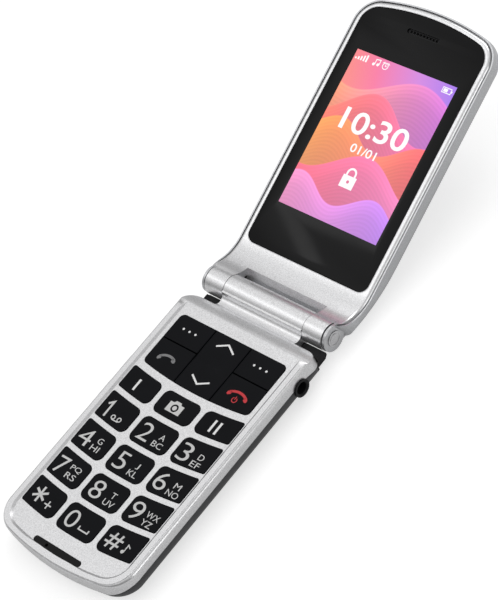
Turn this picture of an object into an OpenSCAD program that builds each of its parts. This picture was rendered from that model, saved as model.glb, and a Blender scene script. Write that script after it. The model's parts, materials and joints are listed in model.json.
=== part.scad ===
// Clamshell phone: a flat base with arched key rows, and a display lid on a barrel hinge.
// Base pieces are drawn in (x, s, z): s runs from the hinge axis toward the mouth end, z is up
// from the axis. Lid pieces are drawn in (x, v, n): v runs from the axis toward the earpiece,
// and n points out of the display. Two placing modules carry both into the common frame, whose
// origin is the middle of the base's flat underside.

/* [Base casing] */
// Width of the base
base_w = 49.7; // [49.3:0.1:50.1]
// Hinge axis to the mouth end
base_reach = 95; // [94:0.1:97]
// Hinge axis to the base's hinge-end wall
hinge_wall = 7.2; // [7:0.1:7.6]
// Plan radius of the mouth-end corners
base_corner = 8.5; // [8:0.1:9]
// Plan radius of the arched mouth end
base_arch = 90; // [70:1:130]
// Plan radius of the hinge-end corners
base_near_corner = 4.5; // [4:0.1:5]
// Hinge axis down to the underside
base_below = 5.9; // [5.8:0.1:6.6]
// Hinge axis up to the top of the rim
rim_z = 4; // [3.9:0.05:4.1]
// Rounding of the back edge
belly_r = 5.5; // [5.2:0.1:5.7]
// Rounding of the lower hinge-end edge
heel_r = 3; // [2:0.1:3.6]
// Rounding of the top edge
shoulder_r = 1.1; // [0.6:0.1:1.4]
// Height of the raised rim over the shoulder
rim_step = 0.2; // [0.1:0.05:0.4]
// Width of the shoulder outside the rim
shoulder_w = 1; // [0.8:0.1:1.2]
// Depth of the key deck below the rim
deck_drop = 0.5; // [0.4:0.05:0.6]
// Thickness of the key deck
deck_t = 1; // [0.9:0.05:1.1]
// Side width between the shoulder and the deck
rim_w = 2.2; // [2.1:0.05:2.3]
// Width of the rim at the mouth end
rim_mouth_w = 1.4; // [1.2:0.05:1.6]
// Slope of the rim down to the deck, measured in plan
rim_slope = 0.7; // [0.4:0.05:0.8]
// Plan radius of the deck's mouth-end corners
deck_corner = 6.5; // [6:0.1:7.5]
// Wall of the base's covers
base_wall = 1.2; // [1:0.05:1.3]
// Wall of the back cover
back_wall = 0.95; // [0.85:0.05:1]
// Height of the seam over the hinge axis
seam_z = 0.6; // [0.5:0.05:0.8]
// Radius by which the seam dips at both ends
seam_dip_r = 22; // [18:0.5:30]
// Straight seam starts here
seam_from = 18; // [16:0.5:20]
// Straight seam ends here
seam_to = 85; // [83:0.5:86]
// Dark line between the two covers
seam_line = 0.35; // [0.25:0.05:0.45]

/* [Hinge] */
// Lid angle from closed to fully open
open_angle = 159.6; // [150:0.1:161]
// Radius of the base's barrel
barrel_r = 4.2; // [4.1:0.05:4.25]
// Half length of the base's barrel
barrel_half = 15.1; // [14:0.1:16]
// Radius of the lid's knuckles
knuckle_r = 4.25; // [4.2:0.05:4.3]
// End of the knuckles, from the middle
knuckle_end = 22.2; // [21.8:0.1:22.4]
// Gap between knuckle and barrel ends
end_gap = 0.15; // [0.1:0.05:0.3]
// Radius of the concave neck from the lid face to the knuckles
neck_r = 13; // [12:0.1:13.6]
// Where the lid's lip starts to fall, from the axis
lip_top = 7.2; // [7:0.1:7.6]
// Where the lid's lip ends, from the axis
lip_end = 4.4; // [4:0.1:4.6]
// Fall of the lip between the two
lip_fall = 1.85; // [1.4:0.05:2]
// Gap between the lid's lip and the barrel
scoop_gap = 0.35; // [0.25:0.05:0.45]
// Fillet in the valley between deck and barrel
valley_r = 2; // [1.7:0.1:2.3]
// Radius of the hinge shaft
shaft_r = 1.5; // [1.2:0.05:1.8]
// Radius of the cam cartridge in the barrel
cartridge_r = 3; // [2.8:0.05:3.2]
// Length of the cam cartridge
cartridge_l = 11; // [9:0.5:12]
// Radius of the hollow pivot
pivot_r = 2; // [1.8:0.05:2.4]
// Bore of the hollow pivot
pivot_bore = 1.2; // [0.9:0.05:1.4]
// Length of the pivot inside the barrel
pivot_in = 7; // [5:0.5:8]
// Radial running clearance of pins in bores
run_gap = 0.05; // [0.03:0.01:0.1]
// Thickness of the end discs
ear_t = 0.8; // [0.7:0.05:0.9]
// Radius of the end discs
ear_r = 4.05; // [3.9:0.05:4.2]
// Radius of the hinge caps
cap_r = 2.4; // [2.2:0.1:2.6]
// Depth of the hinge caps
cap_t = 0.7; // [0.5:0.05:0.75]
// Gap between lid and base when closed
closed_gap = 0.3; // [0.25:0.01:0.35]

/* [Lid casing] */
// Width of the lid
lid_w = 50.4; // [50.2:0.1:50.8]
// Hinge axis to the earpiece end
lid_reach = 95; // [94.8:0.1:96]
// Thickness of the lid
lid_t = 7; // [6.9:0.1:7.6]
// Plan radius of the earpiece-end corners
lid_corner = 8.6; // [8.3:0.1:9]
// Plan radius of the arched earpiece end
lid_arch = 87; // [75:1:110]
// Plan radius of the hinge-end corners
lid_near_corner = 4; // [3:0.1:4.4]
// Start of the lid's sides at the hinge
lid_near = 2.2; // [1.8:0.1:2.4]
// Rounding of the lid's back edge
lid_belly_r = 4; // [3.4:0.1:4.2]
// Where the flat back starts to bend up to the hinge
back_bend = 25; // [23:0.5:27]
// Wall of the lid shell
lid_wall = 1; // [0.9:0.05:1.1]
// Edge of the shell that stands round the front frame
lip_w = 0.45; // [0.4:0.05:0.5]
// Dark line between shell and front frame
frame_gap = 0.25; // [0.15:0.05:0.3]
// Front frame stands over the shell's edge by this
frame_stand = 0.45; // [0.3:0.05:0.6]
// Thickness of the front frame
frame_t = 2.2; // [2.1:0.05:2.3]
// Rounding of the front frame's edge
frame_edge_r = 1; // [0.7:0.1:1.2]
// Ledge under the edge of the lens
ledge_w = 2.6; // [2.4:0.05:2.7]

/* [Display] */
// Width of the lens
lens_w = 45.4; // [45.2:0.1:45.6]
// Hinge axis to the lens
lens_near = 14.4; // [14.2:0.1:14.8]
// Hinge axis to the lens's far edge
lens_far = 92.6; // [92.5:0.1:93]
// Far corner radius of the lens
lens_corner = 6; // [5.5:0.1:6.5]
// Near corner radius of the lens
lens_near_corner = 3; // [2.5:0.1:3.5]
// Thickness of the lens
lens_t = 0.9; // [0.8:0.05:1]
// Depth of the lens below the frame
lens_drop = 0.1; // [0.05:0.05:0.15]
// Width of the display glass
panel_w = 39.6; // [39:0.1:39.8]
// Length of the display glass
panel_l = 57; // [56:0.5:58]
// Thickness of the display module
panel_t = 1.95; // [1.8:0.05:2]
// Hinge axis to the display module
panel_near = 24.5; // [24:0.1:25]
// Length of the earpiece slot
ear_slot_l = 11.7; // [10:0.1:13]
// Width of the earpiece slot
ear_slot_w = 1.4; // [1.2:0.1:1.6]
// Hinge axis to the earpiece slot
ear_slot_v = 87.3; // [87:0.1:87.6]

/* [Camera] */
// Hinge axis to the camera
camera_v = 78; // [72:0.5:79]
// Outer radius of the camera ring
camera_ring_r = 3.6; // [3.3:0.1:4]
// Radius of the camera window
camera_lens_r = 2.3; // [2:0.1:2.6]
// Camera ring stands over the back by this
camera_proud = 0.3; // [0.2:0.05:0.4]
// Side of the square camera module
camera_side = 7; // [6:0.1:7.5]

/* [Keys] */
// Height of the key tops over the deck
key_rise = 0.35; // [0.25:0.05:0.35]
// Travel of a key
key_travel = 0.3; // [0.25:0.05:0.35]
// Gap round each key
key_gap = 0.12; // [0.1:0.01:0.15]
// Width of the flange that holds a key in
key_flange = 0.6; // [0.4:0.05:0.65]
// Thickness of that flange
key_flange_t = 0.7; // [0.6:0.05:0.75]
// Radius of the arched key rows
row_arch = 130; // [110:1:160]
// Half width of the middle keys
key_mid = 6.8; // [6.6:0.05:6.9]
// Inner edge of the outer keys
key_inner = 8.7; // [8.6:0.05:9]
// Outer edge of the outer keys
key_outer = 21.3; // [21:0.05:21.35]
// Key depth along the base
key_l = 8.55; // [8.3:0.05:8.6]
// Pitch of the number rows
row_pitch = 10.37; // [10.3:0.01:10.4]
// Hinge axis to the first number row
rows_from = 46; // [45.8:0.1:46.2]
// Hinge axis to the camera key's row
memory_row = 36.6; // [36.5:0.1:36.8]
// Depth of the keys in that row
memory_l = 7.5; // [7.3:0.05:7.6]
// Inner corner radius of the keys
key_corner = 2; // [1.4:0.1:2.4]
// Outer corner radius of the outer keys
key_outer_corner = 0.6; // [0.4:0.1:1]
// Half width of the function panel
pad_half = 20.2; // [19.8:0.1:20.4]
// Hinge axis to the function panel
pad_near = 14.9; // [14.8:0.1:15.1]
// Hinge axis to the panel's arched far edge
pad_far = 34.2; // [34:0.1:34.4]
// Corner radius of the panel
pad_corner = 1.6; // [1.2:0.1:2]
// Middle of the panel, where the outer keys part
pad_split = 23.7; // [23:0.1:24.5]
// Half width of the rocker in the panel
rocker_half = 6.65; // [6.3:0.05:6.8]
// Gap between the panel's keys
pad_gap = 0.3; // [0.25:0.05:0.35]
// Length of the volume rocker
volume_l = 16; // [13:0.5:18]
// Height of the volume rocker
volume_h = 1.7; // [1.6:0.05:1.8]
// Hinge axis to the middle of the volume rocker
volume_s = 40; // [36:0.5:46]
// Volume rocker stands out of the wall by this
volume_proud = 0.6; // [0.5:0.05:0.7]

/* [Inner pieces] */
// Thickness of the rubber keypad mat
mat_t = 0.4; // [0.3:0.05:0.45]
// Rise of the metal key domes
dome_rise = 0.28; // [0.22:0.02:0.3]
// Radius of the metal key domes
dome_r = 2.2; // [2:0.1:2.5]
// Thickness of the dome sheet
dome_sheet_t = 0.1; // [0.06:0.01:0.12]
// Thickness of the main board
board_t = 0.8; // [0.7:0.05:0.8]
// Half width of the main board
board_half = 20.6; // [20:0.1:20.8]
// Thickness of the chassis floor
chassis_t = 0.5; // [0.45:0.05:0.55]
// Wall of the chassis
chassis_wall = 1; // [0.9:0.05:1.1]
// Chassis wall lies inside the casing by this
chassis_inset = 2.4; // [2.35:0.05:2.5]
// Width of the battery
battery_w = 36; // [34:0.5:38]
// Length of the battery
battery_l = 52; // [48:0.5:53]
// Hinge axis to the battery
battery_from = 27.5; // [27:0.1:28]
// Diameter of the headset jack's bore
jack_bore = 3.6; // [3.5:0.05:3.7]
// Outer diameter of the jack's bezel
jack_od = 5.4; // [5.2:0.05:5.6]
// Hinge axis to the jack
jack_s = 16.8; // [16.5:0.1:17.5]
// Jack axis below the hinge axis
jack_drop = 0.8; // [0.75:0.05:1]
// Depth of the jack
jack_depth = 14; // [13:0.1:15]
// Bezel stands out of the wall by this
jack_proud = 0.5; // [0.3:0.05:0.6]
// Width of the charging socket
usb_w = 7.5; // [7.4:0.05:7.6]
// Height of the charging socket
usb_h = 2.5; // [2.4:0.05:2.6]
// Depth of the charging socket
usb_l = 5.5; // [5:0.1:6]
// Hinge axis to the charging socket
usb_s = 62; // [60:0.5:66]
// Radius of the casing screws
screw_r = 0.7; // [0.6:0.05:0.8]

/* [Hidden] */
$fn = 96;

eps = 0.01;
hair = 0.03;                     // rounds stand out by this, to cross and not just touch
wide = 120;                      // a section this wide reaches past every middle
fit = 0.05;                      // gap between fixed pieces that seat on each other
big = 30;                        // reach of a cutting block past the casing

// Levels of the base, up from the hinge axis
floor_z = -base_below;
deck_z = rim_z - deck_drop;
deck_under = deck_z - deck_t;
key_top = deck_z + key_rise;
flange_z = deck_under - fit;                    // top of the key flanges
flange_low = flange_z - key_flange_t;           // bottom of the key flanges
mat_z = flange_low - key_travel - fit;          // top of the mat
dome_top = mat_z - mat_t - fit;
sheet_z = dome_top - dome_rise - dome_sheet_t;  // underside of the dome sheet
board_z = sheet_z - fit - board_t;              // underside of the board
chassis_z = board_z - fit - chassis_t;          // underside of the chassis floor
battery_top = chassis_z - 2 * fit;
battery_floor = floor_z + back_wall + 2 * fit;
battery_t = battery_top - battery_floor;

base_half = base_w / 2;
hinge_y = (base_reach + hinge_wall) / 2;
lid_half = lid_w / 2;
rest_tilt = 180 - open_angle;

// Levels of the lid, along n from the hinge axis; the lid face clears the rim when closed
face_n = -(rim_z + closed_gap);
back_n = face_n - lid_t;
frame_low = face_n - frame_t;
lens_n = face_n - lens_drop;
lens_low = lens_n - lens_t;
panel_n = lens_low - fit;
panel_low = panel_n - panel_t;
lid_floor = back_n + lid_wall;

// The neck arc meets the face and the knuckle; its centre serves lid and base alike
neck_n = neck_r + face_n;
neck_v = sqrt(pow(neck_r + knuckle_r - 2 * hair, 2) - pow(neck_n, 2));
// The back bends up on an arc that ends tangent to the knuckle
back_depth = -back_n;
back_r = (pow(back_bend, 2) + pow(back_depth, 2) - pow(knuckle_r, 2)) / (2 * (back_depth - knuckle_r));
back_cn = back_n + back_r;
back_sweep = asin(back_bend / back_r) + 4;

// Deck slope at the hinge end runs parallel to the closed lid's neck
slope_r = neck_r - closed_gap;
slope_z = rim_z - slope_r;

// ---------- outlines ----------

// Middle of the arched end's circle, and of its corner circles
function arch_mid(reach, arch) = reach - arch;
function corner_mid(half, corner, arch, reach) =
    arch_mid(reach, arch) + sqrt(pow(arch - corner, 2) - pow(half - corner, 2));
function arch_angle(half, corner, arch, reach) =
    asin((half - corner) / (arch - corner));

// Outline with one arched end at s = reach and one straight end at s = near
module plan(half, corner, arch, reach, near, near_corner = 0, inset = 0) {
    mid = arch_mid(reach, arch);
    cs = corner_mid(half, corner, arch, reach);
    a = arch_angle(half, corner, arch, reach);
    w = half - inset;
    lo = near + inset;
    r = max(near_corner - inset, 0);
    translate([-w, lo + r]) square([2 * w, cs - lo - r]);
    if (r > 0) {
        translate([-(w - r), lo]) square([2 * (w - r), r + eps]);
        for (side = [-1, 1]) translate([side * (w - r), lo + r]) circle(r);
    }
    for (side = [-1, 1]) translate([side * (half - corner), cs]) circle(corner - inset);
    // the arch, from just behind the line of the corners' centres
    ray = [sin(a), cos(a)];
    q = arch - corner - 1;
    intersection() {
        translate([0, mid]) circle(arch - inset, $fn = 360);
        translate([0, mid]) polygon([q * ray, 2 * arch * ray, [-2 * arch * ray[0], 2 * arch * ray[1]],
                                     [-q * ray[0], q * ray[1]]]);
    }
}

// Section (x = inset, y = height) set to turn about an axis with its outer edge at radius r
module turned(r) {
    intersection() {
        translate([r, 0]) mirror([1, 0]) children();
        translate([0, -2 * big]) square([r + big, 4 * big]);
    }
}

// Section between both sides of a plan
module both_sides(half) {
    intersection_for (side = [0, 1]) mirror([side, 0]) translate([half, 0]) mirror([1, 0]) children();
}

// Solid with one edge section along the sides, the corners and the arched end of a plan. The
// corner rounds stand out by a hair, so that the rounded surfaces cross and never just touch.
module edge_form(half, corner, arch, reach, near) {
    mid = arch_mid(reach, arch);
    cs = corner_mid(half, corner, arch, reach);
    a = arch_angle(half, corner, arch, reach);
    difference() {
        intersection() {
            translate([0, near, 0]) mirror([0, 1, 0]) rotate([90, 0, 0]) linear_extrude(reach)
                both_sides(half) children();
            translate([0, mid, 0]) rotate_extrude($fn = 360) turned(arch) children();
        }
        for (side = [0, 1]) mirror([side, 0, 0]) difference() {
            translate([half - corner, cs, -2 * big]) linear_extrude(4 * big)
                polygon([[0, 0], [corner + 2, 0], [corner + 2, corner], 1.6 * corner * [sin(a), cos(a)]]);
            translate([half - corner, cs, 0]) rotate_extrude() turned(corner + hair) children();
        }
    }
}

// Cuts the two corners of a plan at its straight end
module near_corners(half, near, r) {
    translate([0, 0, -2 * big]) linear_extrude(4 * big) for (side = [-1, 1])
        corner_cut([side * (half - r), near + r], [side, 0], [0, -1], r);
}

// Square corner at the origin less a round of radius r, to cut an edge round
module round_cut(r) {
    difference() {
        translate([-1, -1]) square(r + 1);
        translate([r, r]) circle(r);
    }
}

// Extrudes a side view (x = s, y = z) across the full width
module across(half = big) {
    translate([half, 0, 0]) rotate([90, 0, -90]) mirror([1, 0, 0]) linear_extrude(2 * half) children();
}

// Cuts a corner of an outline to radius r; mid is the round's centre, u and w point to both edges
module corner_cut(mid, u, w, r) {
    k = 1.6 * r + 0.4;
    difference() {
        polygon([mid, mid + k * u, mid + k * (u + w), mid + k * w]);
        translate(mid) circle(r + hair / 6, $fn = 48);
    }
}

// ---------- placing ----------

module base_place() { translate([0, hinge_y, base_below]) mirror([0, 1, 0]) children(); }
module lid_place() { translate([0, hinge_y, base_below]) rotate([rest_tilt, 0, 0]) children(); }
// A pin or bore along the hinge axis from x = a to x = b
module axle(r, a, b) { translate([a, 0, 0]) rotate([0, 90, 0]) cylinder(r = r, h = b - a); }

// ---------- base casing ----------

module base_plan(inset = 0, near = hinge_wall, near_corner = base_near_corner) {
    plan(base_half, base_corner, base_arch, base_reach, near, near_corner, inset);
}

// Section of the casing's edge
module base_edge(top, inset, round_top) {
    difference() {
        translate([inset, floor_z + inset]) square([wide, top - floor_z - inset]);
        translate([inset, floor_z + inset]) round_cut(belly_r - inset);
        translate([inset, top]) mirror([0, 1]) round_cut(round_top);
    }
}

// Whole rounded form of the base up to z = top
module base_form(top, inset = 0, round_top = shoulder_r) {
    near = hinge_wall + inset;
    difference() {
        edge_form(base_half, base_corner, base_arch, base_reach, near) base_edge(top, inset, round_top);
        across() translate([near, floor_z + inset]) round_cut(heel_r - inset);
        near_corners(base_half - inset, near, base_near_corner - inset);
    }
}

// Side view of everything below the seam: a straight line that dips at both ends
module below_seam(drop = 0) {
    z = seam_z - drop;
    for (s = [seam_from, seam_to]) translate([s, z - seam_dip_r]) circle(seam_dip_r, $fn = 360);
    translate([seam_from, z - 2 * seam_dip_r]) square([seam_to - seam_from, 2 * seam_dip_r]);
    translate([seam_from - seam_dip_r, z - 3 * seam_dip_r])
        square([seam_to - seam_from + 2 * seam_dip_r, 2 * seam_dip_r]);
}

// Side view of what lies over the sloping hinge end of the deck
module over_slope() {
    difference() {
        translate([-1, slope_z]) square([neck_v + 1, big]);
        translate([neck_v, slope_z]) circle(slope_r, $fn = 360);
    }
}

// The sunk key deck
deck_half = base_half - shoulder_w - rim_w;
deck_reach = base_reach - shoulder_w / 2 - rim_mouth_w - rim_slope;
deck_near = 0;

// Deck cut with its sloping rim
module deck_cut() {
    edge_form(deck_half, deck_corner, base_arch, deck_reach, deck_near)
        polygon([[0, deck_z], [-rim_slope, rim_z], [-rim_slope, rim_z + big],
                 [wide, rim_z + big], [wide, deck_z]]);
}

// Centre of a fillet of radius r outside two circles, on the upper side of the line between
function fillet_mid(c, rc, r) = let (d = norm(c), p = rc + r, q = barrel_r + r,
    t = (q * q - p * p + d * d) / (2 * d), h = sqrt(q * q - t * t), u = c / d)
    [t * u[0] - h * u[1], t * u[1] + h * u[0]];

// Side view of the arm that carries the barrel
module barrel_arm() {
    mid = fillet_mid([neck_v, slope_z], slope_r, valley_r);
    difference() {
        polygon([[0, -barrel_r + 0.3], [hinge_wall, arm_low], [arm_root, arm_low], [arm_root, 0.5], mid,
                 [0, barrel_r - 1]]);
        translate(mid) circle(valley_r);
    }
}
arm_low = -1.9;
arm_root = hinge_wall + base_wall;

module screw_posts(r, z0, z1) {
    for (p = screw_spots) translate([p[0], p[1], z0]) cylinder(r = r, h = z1 - z0);
}
screw_in = 6.4;                  // from the side, the hinge end and the mouth end to the screws
screw_near = 4.8;
screw_far = 7.1;
screw_spots = [for (s = [hinge_wall + screw_near, base_reach - screw_far], side = [-1, 1])
    [side * (base_half - screw_in), s]];
post_r = 2;
post_low = board_z - 0.1;

module front_cover() {
    color("gainsboro") base_place() difference() {
        union() {
            difference() {
                union() {
                    base_form(rim_z - rim_step);
                    translate([0, 0, deck_z - deck_t / 2]) linear_extrude(rim_z - deck_z + deck_t / 2)
                        plan(base_half - shoulder_w, base_corner - shoulder_w, base_arch,
                             base_reach - shoulder_w / 2, hinge_wall, base_near_corner - shoulder_w);
                }
                across() over_slope();
                across() below_seam();
                deck_cut();
                translate([0, 0, -big]) linear_extrude(big + deck_under)
                    base_plan(base_wall, pad_near - key_flange - 2 * key_gap - base_wall, 1 + base_wall);
                translate([0, 0, -big]) linear_extrude(big + chassis_high + fit) base_plan(base_wall);
                translate([0, 0, -big]) linear_extrude(big + jack_top + fit) jack_plan(fit);
            }
            across(barrel_half) barrel_arm();
            axle(barrel_r, -barrel_half, barrel_half);
            screw_posts(post_r, post_low, deck_under + eps);
        }
        axle(cartridge_r + run_gap, barrel_half - cartridge_l, barrel_half + 1);
        axle(pivot_r + run_gap, -barrel_half - 1, pivot_in - barrel_half);
        axle(pivot_bore, -barrel_half - 1, barrel_half);
        screw_posts(screw_r, post_low - 1, deck_under - 0.2);
        key_holes();
        translate([0, 0, deck_under - 1]) linear_extrude(big) bumper_plan(fit);
        volume_hole();
        jack_hole();
        for (x = contact_spots) contact_slot(x, contact_w / 2 + fit);
    }
}

// Ledge that closes the gap between the knuckles and the base's end, in x, s, z
module knuckle_ledges() {
    gap = 0.35;
    from = barrel_half + 2 * end_gap;
    for (side = [0, 1]) mirror([side, 0, 0]) translate([(from + knuckle_end) / 2, 0, 0])
        across((knuckle_end - from) / 2) difference() {
            polygon([[ledge_end, ledge_low], [ledge_end + 1, ledge_low - 0.9],
                     [hinge_wall + 0.8, ledge_low - 1], [hinge_wall + 0.8, ledge_root],
                     [hinge_wall - 0.1, ledge_root], [hinge_wall - 0.1, ledge_top], [ledge_end, ledge_top]]);
            circle(knuckle_r + gap);
        }
}
ledge_end = 3.6;
ledge_low = -3.7;
ledge_top = -1.4;
ledge_root = -2.6;               // below the front cover's dipping edge

module battery_cover() {
    color("dimgray") base_place() {
        cover_shell();
        knuckle_ledges();
    }
}

module cover_shell() {
    difference() {
        base_form(seam_z - seam_line + eps, cover_inset, 0.3);
        across() difference() {
            translate([-big, -big]) square([2 * base_reach, 2 * big]);
            below_seam(seam_line);
        }
        // hollow, with a rounded inner edge parallel to the outer one
        base_form(seam_z + big, cover_inset + back_wall, 0.3);
        jack_hole();
        usb_hole(usb_w + 0.6, usb_h + 0.6);
        for (x = contact_spots) contact_slot(x, contact_w / 2 + fit);
        for (k = [-speaker_slots : speaker_slots]) translate([k * 2.2, speaker_s, floor_z - 1])
            linear_extrude(back_wall + 2) slot_plan(5, 0.9);
    }
}
cover_inset = 0.1;
speaker_slots = 2;

// Slot of length l and width w with round ends, along s
module slot_plan(l, w) {
    translate([-w / 2, -(l - w) / 2]) square([w, l - w]);
    for (end = [-1, 1]) translate([0, end * (l - w) / 2]) circle(w / 2, $fn = 32);
}

// Inner frame: a flange that shows as the dark seam line, a wall and a floor under the board
module chassis() {
    color("#1b1b1c") base_place() difference() {
        union() {
            intersection() {
                translate([0, 0, -big / 2]) linear_extrude(big) difference() {
                    base_plan(seam_recess);
                    base_plan(chassis_inset + chassis_wall / 2);
                }
                across() difference() {
                    below_seam(0.02);
                    below_seam(seam_line - 0.02);
                }
            }
            translate([0, 0, chassis_low]) linear_extrude(chassis_high - chassis_low) difference() {
                base_plan(chassis_inset);
                base_plan(chassis_inset + chassis_wall);
            }
            translate([0, 0, chassis_z]) linear_extrude(chassis_t)
                base_plan(chassis_inset + chassis_wall / 2);
        }
        translate([-barrel_half - fit, 0, arm_low - fit])
            cube([2 * (barrel_half + fit), arm_root + fit, big]);
        screw_posts(screw_r + 0.2, chassis_z - 1, board_z);
        screw_posts(post_r + 2 * fit, post_low - fit, big);
        jack_hole();
        translate([0, 0, chassis_low - 1]) linear_extrude(big) jack_plan(fit);
        usb_hole(usb_w + 2 * fit, usb_h + 2 * fit);
        for (x = contact_spots) contact_slot(x, contact_w / 2 + fit);
    }
}
seam_recess = 0.35;
chassis_low = chassis_z - 1.6;
chassis_high = board_z + board_t;

// ---------- base inner pieces ----------

module battery() {
    color("#3c4a5c") base_place() translate([0, battery_from, battery_floor]) difference() {
        translate([-battery_w / 2, 0, 0]) cube([battery_w, battery_l, battery_t]);
        for (k = [-1 : 1]) translate([k * contact_pitch - 1, -eps, battery_t / 2 - 0.6]) cube([2, 0.3, 1.2]);
    }
}
contact_pitch = 5;

module battery_contacts() {
    base = 2.4;
    color("#c8a24a") base_place() for (k = [-1 : 1]) translate([k * contact_pitch, battery_from, 0]) {
        translate([-0.5, -base - 0.4, chassis_z - 0.6]) cube([1, base, 0.6 - fit]);
        translate([-0.5, -base / 2 - 0.4, battery_floor + 1])
            cube([1, base / 2, chassis_z - 0.3 - battery_floor - 1]);
        translate([0, -0.45, battery_floor + battery_t / 2]) rotate([0, 90, 0])
            translate([0, 0, -0.5]) cylinder(r = 0.6, h = 1, $fn = 48);
    }
}

module board_plan(gap = 0) {
    intersection() {
        base_plan(chassis_inset + chassis_wall + 0.1 + gap);
        translate([-board_half + gap, hinge_wall]) square([2 * (board_half - gap), base_reach]);
    }
}

module main_board() {
    color("#1f5c3a") base_place() translate([0, 0, board_z]) linear_extrude(board_t) difference() {
        board_plan();
        for (p = screw_spots) translate(p) {
            circle(post_r + 0.15);
            translate([p[0] < 0 ? -big : 0, -post_r - 0.15]) square([big, 2 * post_r + 0.3]);
        }
        jack_plan(fit);
    }
}

parts_near = 13.5;               // the can and the card holder start here, clear of the screws
module shield_can() {
    w = 15;
    l = 11;
    h = 1.2;
    top = chassis_z - fit;
    color("silver") base_place() translate([-board_half + 3, parts_near, top - h]) difference() {
        cube([w, l, h]);
        translate([0.2, 0.2, 0.2]) cube([w - 0.4, l - 0.4, h]);
    }
}

// Middle of each key, for the domes below: [x, s]
function row_s(x, s0) = s0 - row_arch + sqrt(row_arch * row_arch - x * x);
outer_mid = (key_inner + key_outer) / 2;
columns = [-outer_mid, 0, outer_mid];
number_spots = [for (row = [0 : 3], x = columns)
    [x, row_s(x, rows_from + row * row_pitch + key_l / 2)]];
memory_spots = [for (x = columns) [x, row_s(x, memory_row + memory_l / 2)]];
pad_outer_mid = (rocker_half + pad_gap + pad_half) / 2;
soft_mid = (pad_near + pad_split) / 2;
call_mid = (pad_split + pad_far) / 2 - 0.6;
soft_dome_x = rocker_half + dome_r - 0.3;     // clear of the jack below
pad_spots = [for (side = [-1, 1]) each [[side * soft_dome_x, soft_mid], [side * pad_outer_mid, call_mid]]];
rocker_spots = [[0, pad_near + 3.6], [0, pad_far - 3.6]];
dome_spots = concat(number_spots, memory_spots, pad_spots, rocker_spots);

module sheet_plan() {
    intersection() {
        board_plan(0.6);
        difference() {
            translate([-big, pad_near]) square([2 * big, rows_to - pad_near]);
            jack_plan(0.2);
        }
    }
}
rows_to = rows_from + 3 * row_pitch + key_l;

module key_domes() {
    ball = (dome_r * dome_r + dome_rise * dome_rise) / (2 * dome_rise);
    color("#cfd4da") base_place() {
        translate([0, 0, sheet_z]) linear_extrude(dome_sheet_t) sheet_plan();
        for (p = dome_spots) translate([p[0], p[1], sheet_z + dome_sheet_t]) intersection() {
            translate([0, 0, dome_rise - ball]) sphere(ball);
            translate([0, 0, -dome_sheet_t / 2]) cylinder(r = dome_r + 1, h = dome_rise + 1);
        }
    }
}

module keypad_mat() {
    color("whitesmoke") base_place() translate([0, 0, mat_z - mat_t]) linear_extrude(mat_t) sheet_plan();
}

module bumper_plan(grow = 0) {
    mid = arch_mid(bumper_far, base_arch);
    difference() {
        intersection() {
            translate([-bumper_half - grow, bumper_near - grow]) square([2 * (bumper_half + grow), big]);
            translate([0, mid]) circle(base_arch + grow, $fn = 360);
        }
        for (side = [-1, 1]) {
            x = side * (bumper_half - bumper_r);
            far = [x, sqrt(pow(base_arch - bumper_r, 2) - x * x)];
            corner_cut([x, bumper_near + bumper_r], [side, 0], [0, -1], bumper_r + grow);
            corner_cut([0, mid] + far, [side, 0], far / (base_arch - bumper_r), bumper_r + grow);
        }
    }
}
bumper_r = 0.85;
bumper_half = 9;
bumper_far = deck_reach + 0.15;
bumper_near = bumper_far - 2.2;

module mouth_bumper() {
    low = deck_under - fit - 0.5;
    color("#101012") base_place() difference() {
        union() {
            translate([0, 0, low]) linear_extrude(deck_z + 0.15 - low) bumper_plan();
            translate([0, 0, low]) linear_extrude(0.5) bumper_plan(0.5);
        }
        translate([microphone_x, bumper_far - 1.1, 0]) cylinder(r = 0.5, h = big, $fn = 32);
    }
}
microphone_x = -4;

module microphone() {
    top = deck_under - 0.8 - fit;
    color("silver") base_place() translate([microphone_x, bumper_far - 2.4, board_z + board_t + fit])
        difference() {
            cylinder(r = 2, h = top - board_z - board_t - fit);
            translate([0, 0, top - board_z - board_t - 0.3]) cylinder(r = 0.4, h = 1, $fn = 32);
        }
}

speaker_l = 8;
speaker_w = 15;
speaker_t = 2.2;
speaker_s = battery_from + battery_l + 1 + speaker_l / 2;

module loudspeaker() {
    z = floor_z + back_wall + cover_inset + fit;
    color("#2b2b2e") base_place() translate([0, speaker_s, z]) difference() {
        translate([-speaker_w / 2, -speaker_l / 2, 0]) cube([speaker_w, speaker_l, chassis_z - fit - z]);
        translate([-speaker_w / 2 + 1, -speaker_l / 2 + 1, -eps])
            cube([speaker_w - 2, speaker_l - 2, speaker_t / 4]);
    }
}

// Charging socket in the left side wall
module usb_box(w, h, out) {
    translate([-base_half + usb_in - out, usb_s - w / 2, usb_z - h / 2]) cube([usb_l + out, w, h]);
}
usb_in = 1.3;
usb_z = -2.6;
module usb_hole(w, h) { usb_box(w, h, 5); }
module usb_socket() {
    t = 0.3;
    color("silver") base_place() difference() {
        usb_box(usb_w, usb_h, 0);
        translate([-base_half + usb_in - 1, usb_s - usb_w / 2 + t, usb_z - usb_h / 2 + t])
            difference() {
                cube([usb_l + 1 - 0.8, usb_w - 2 * t, usb_h - 2 * t]);
                translate([1.6, 1.6, (usb_h - 2 * t) * 0.5]) cube([usb_l, usb_w - 2 * t - 3.2, 0.6]);
            }
    }
}

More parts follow.
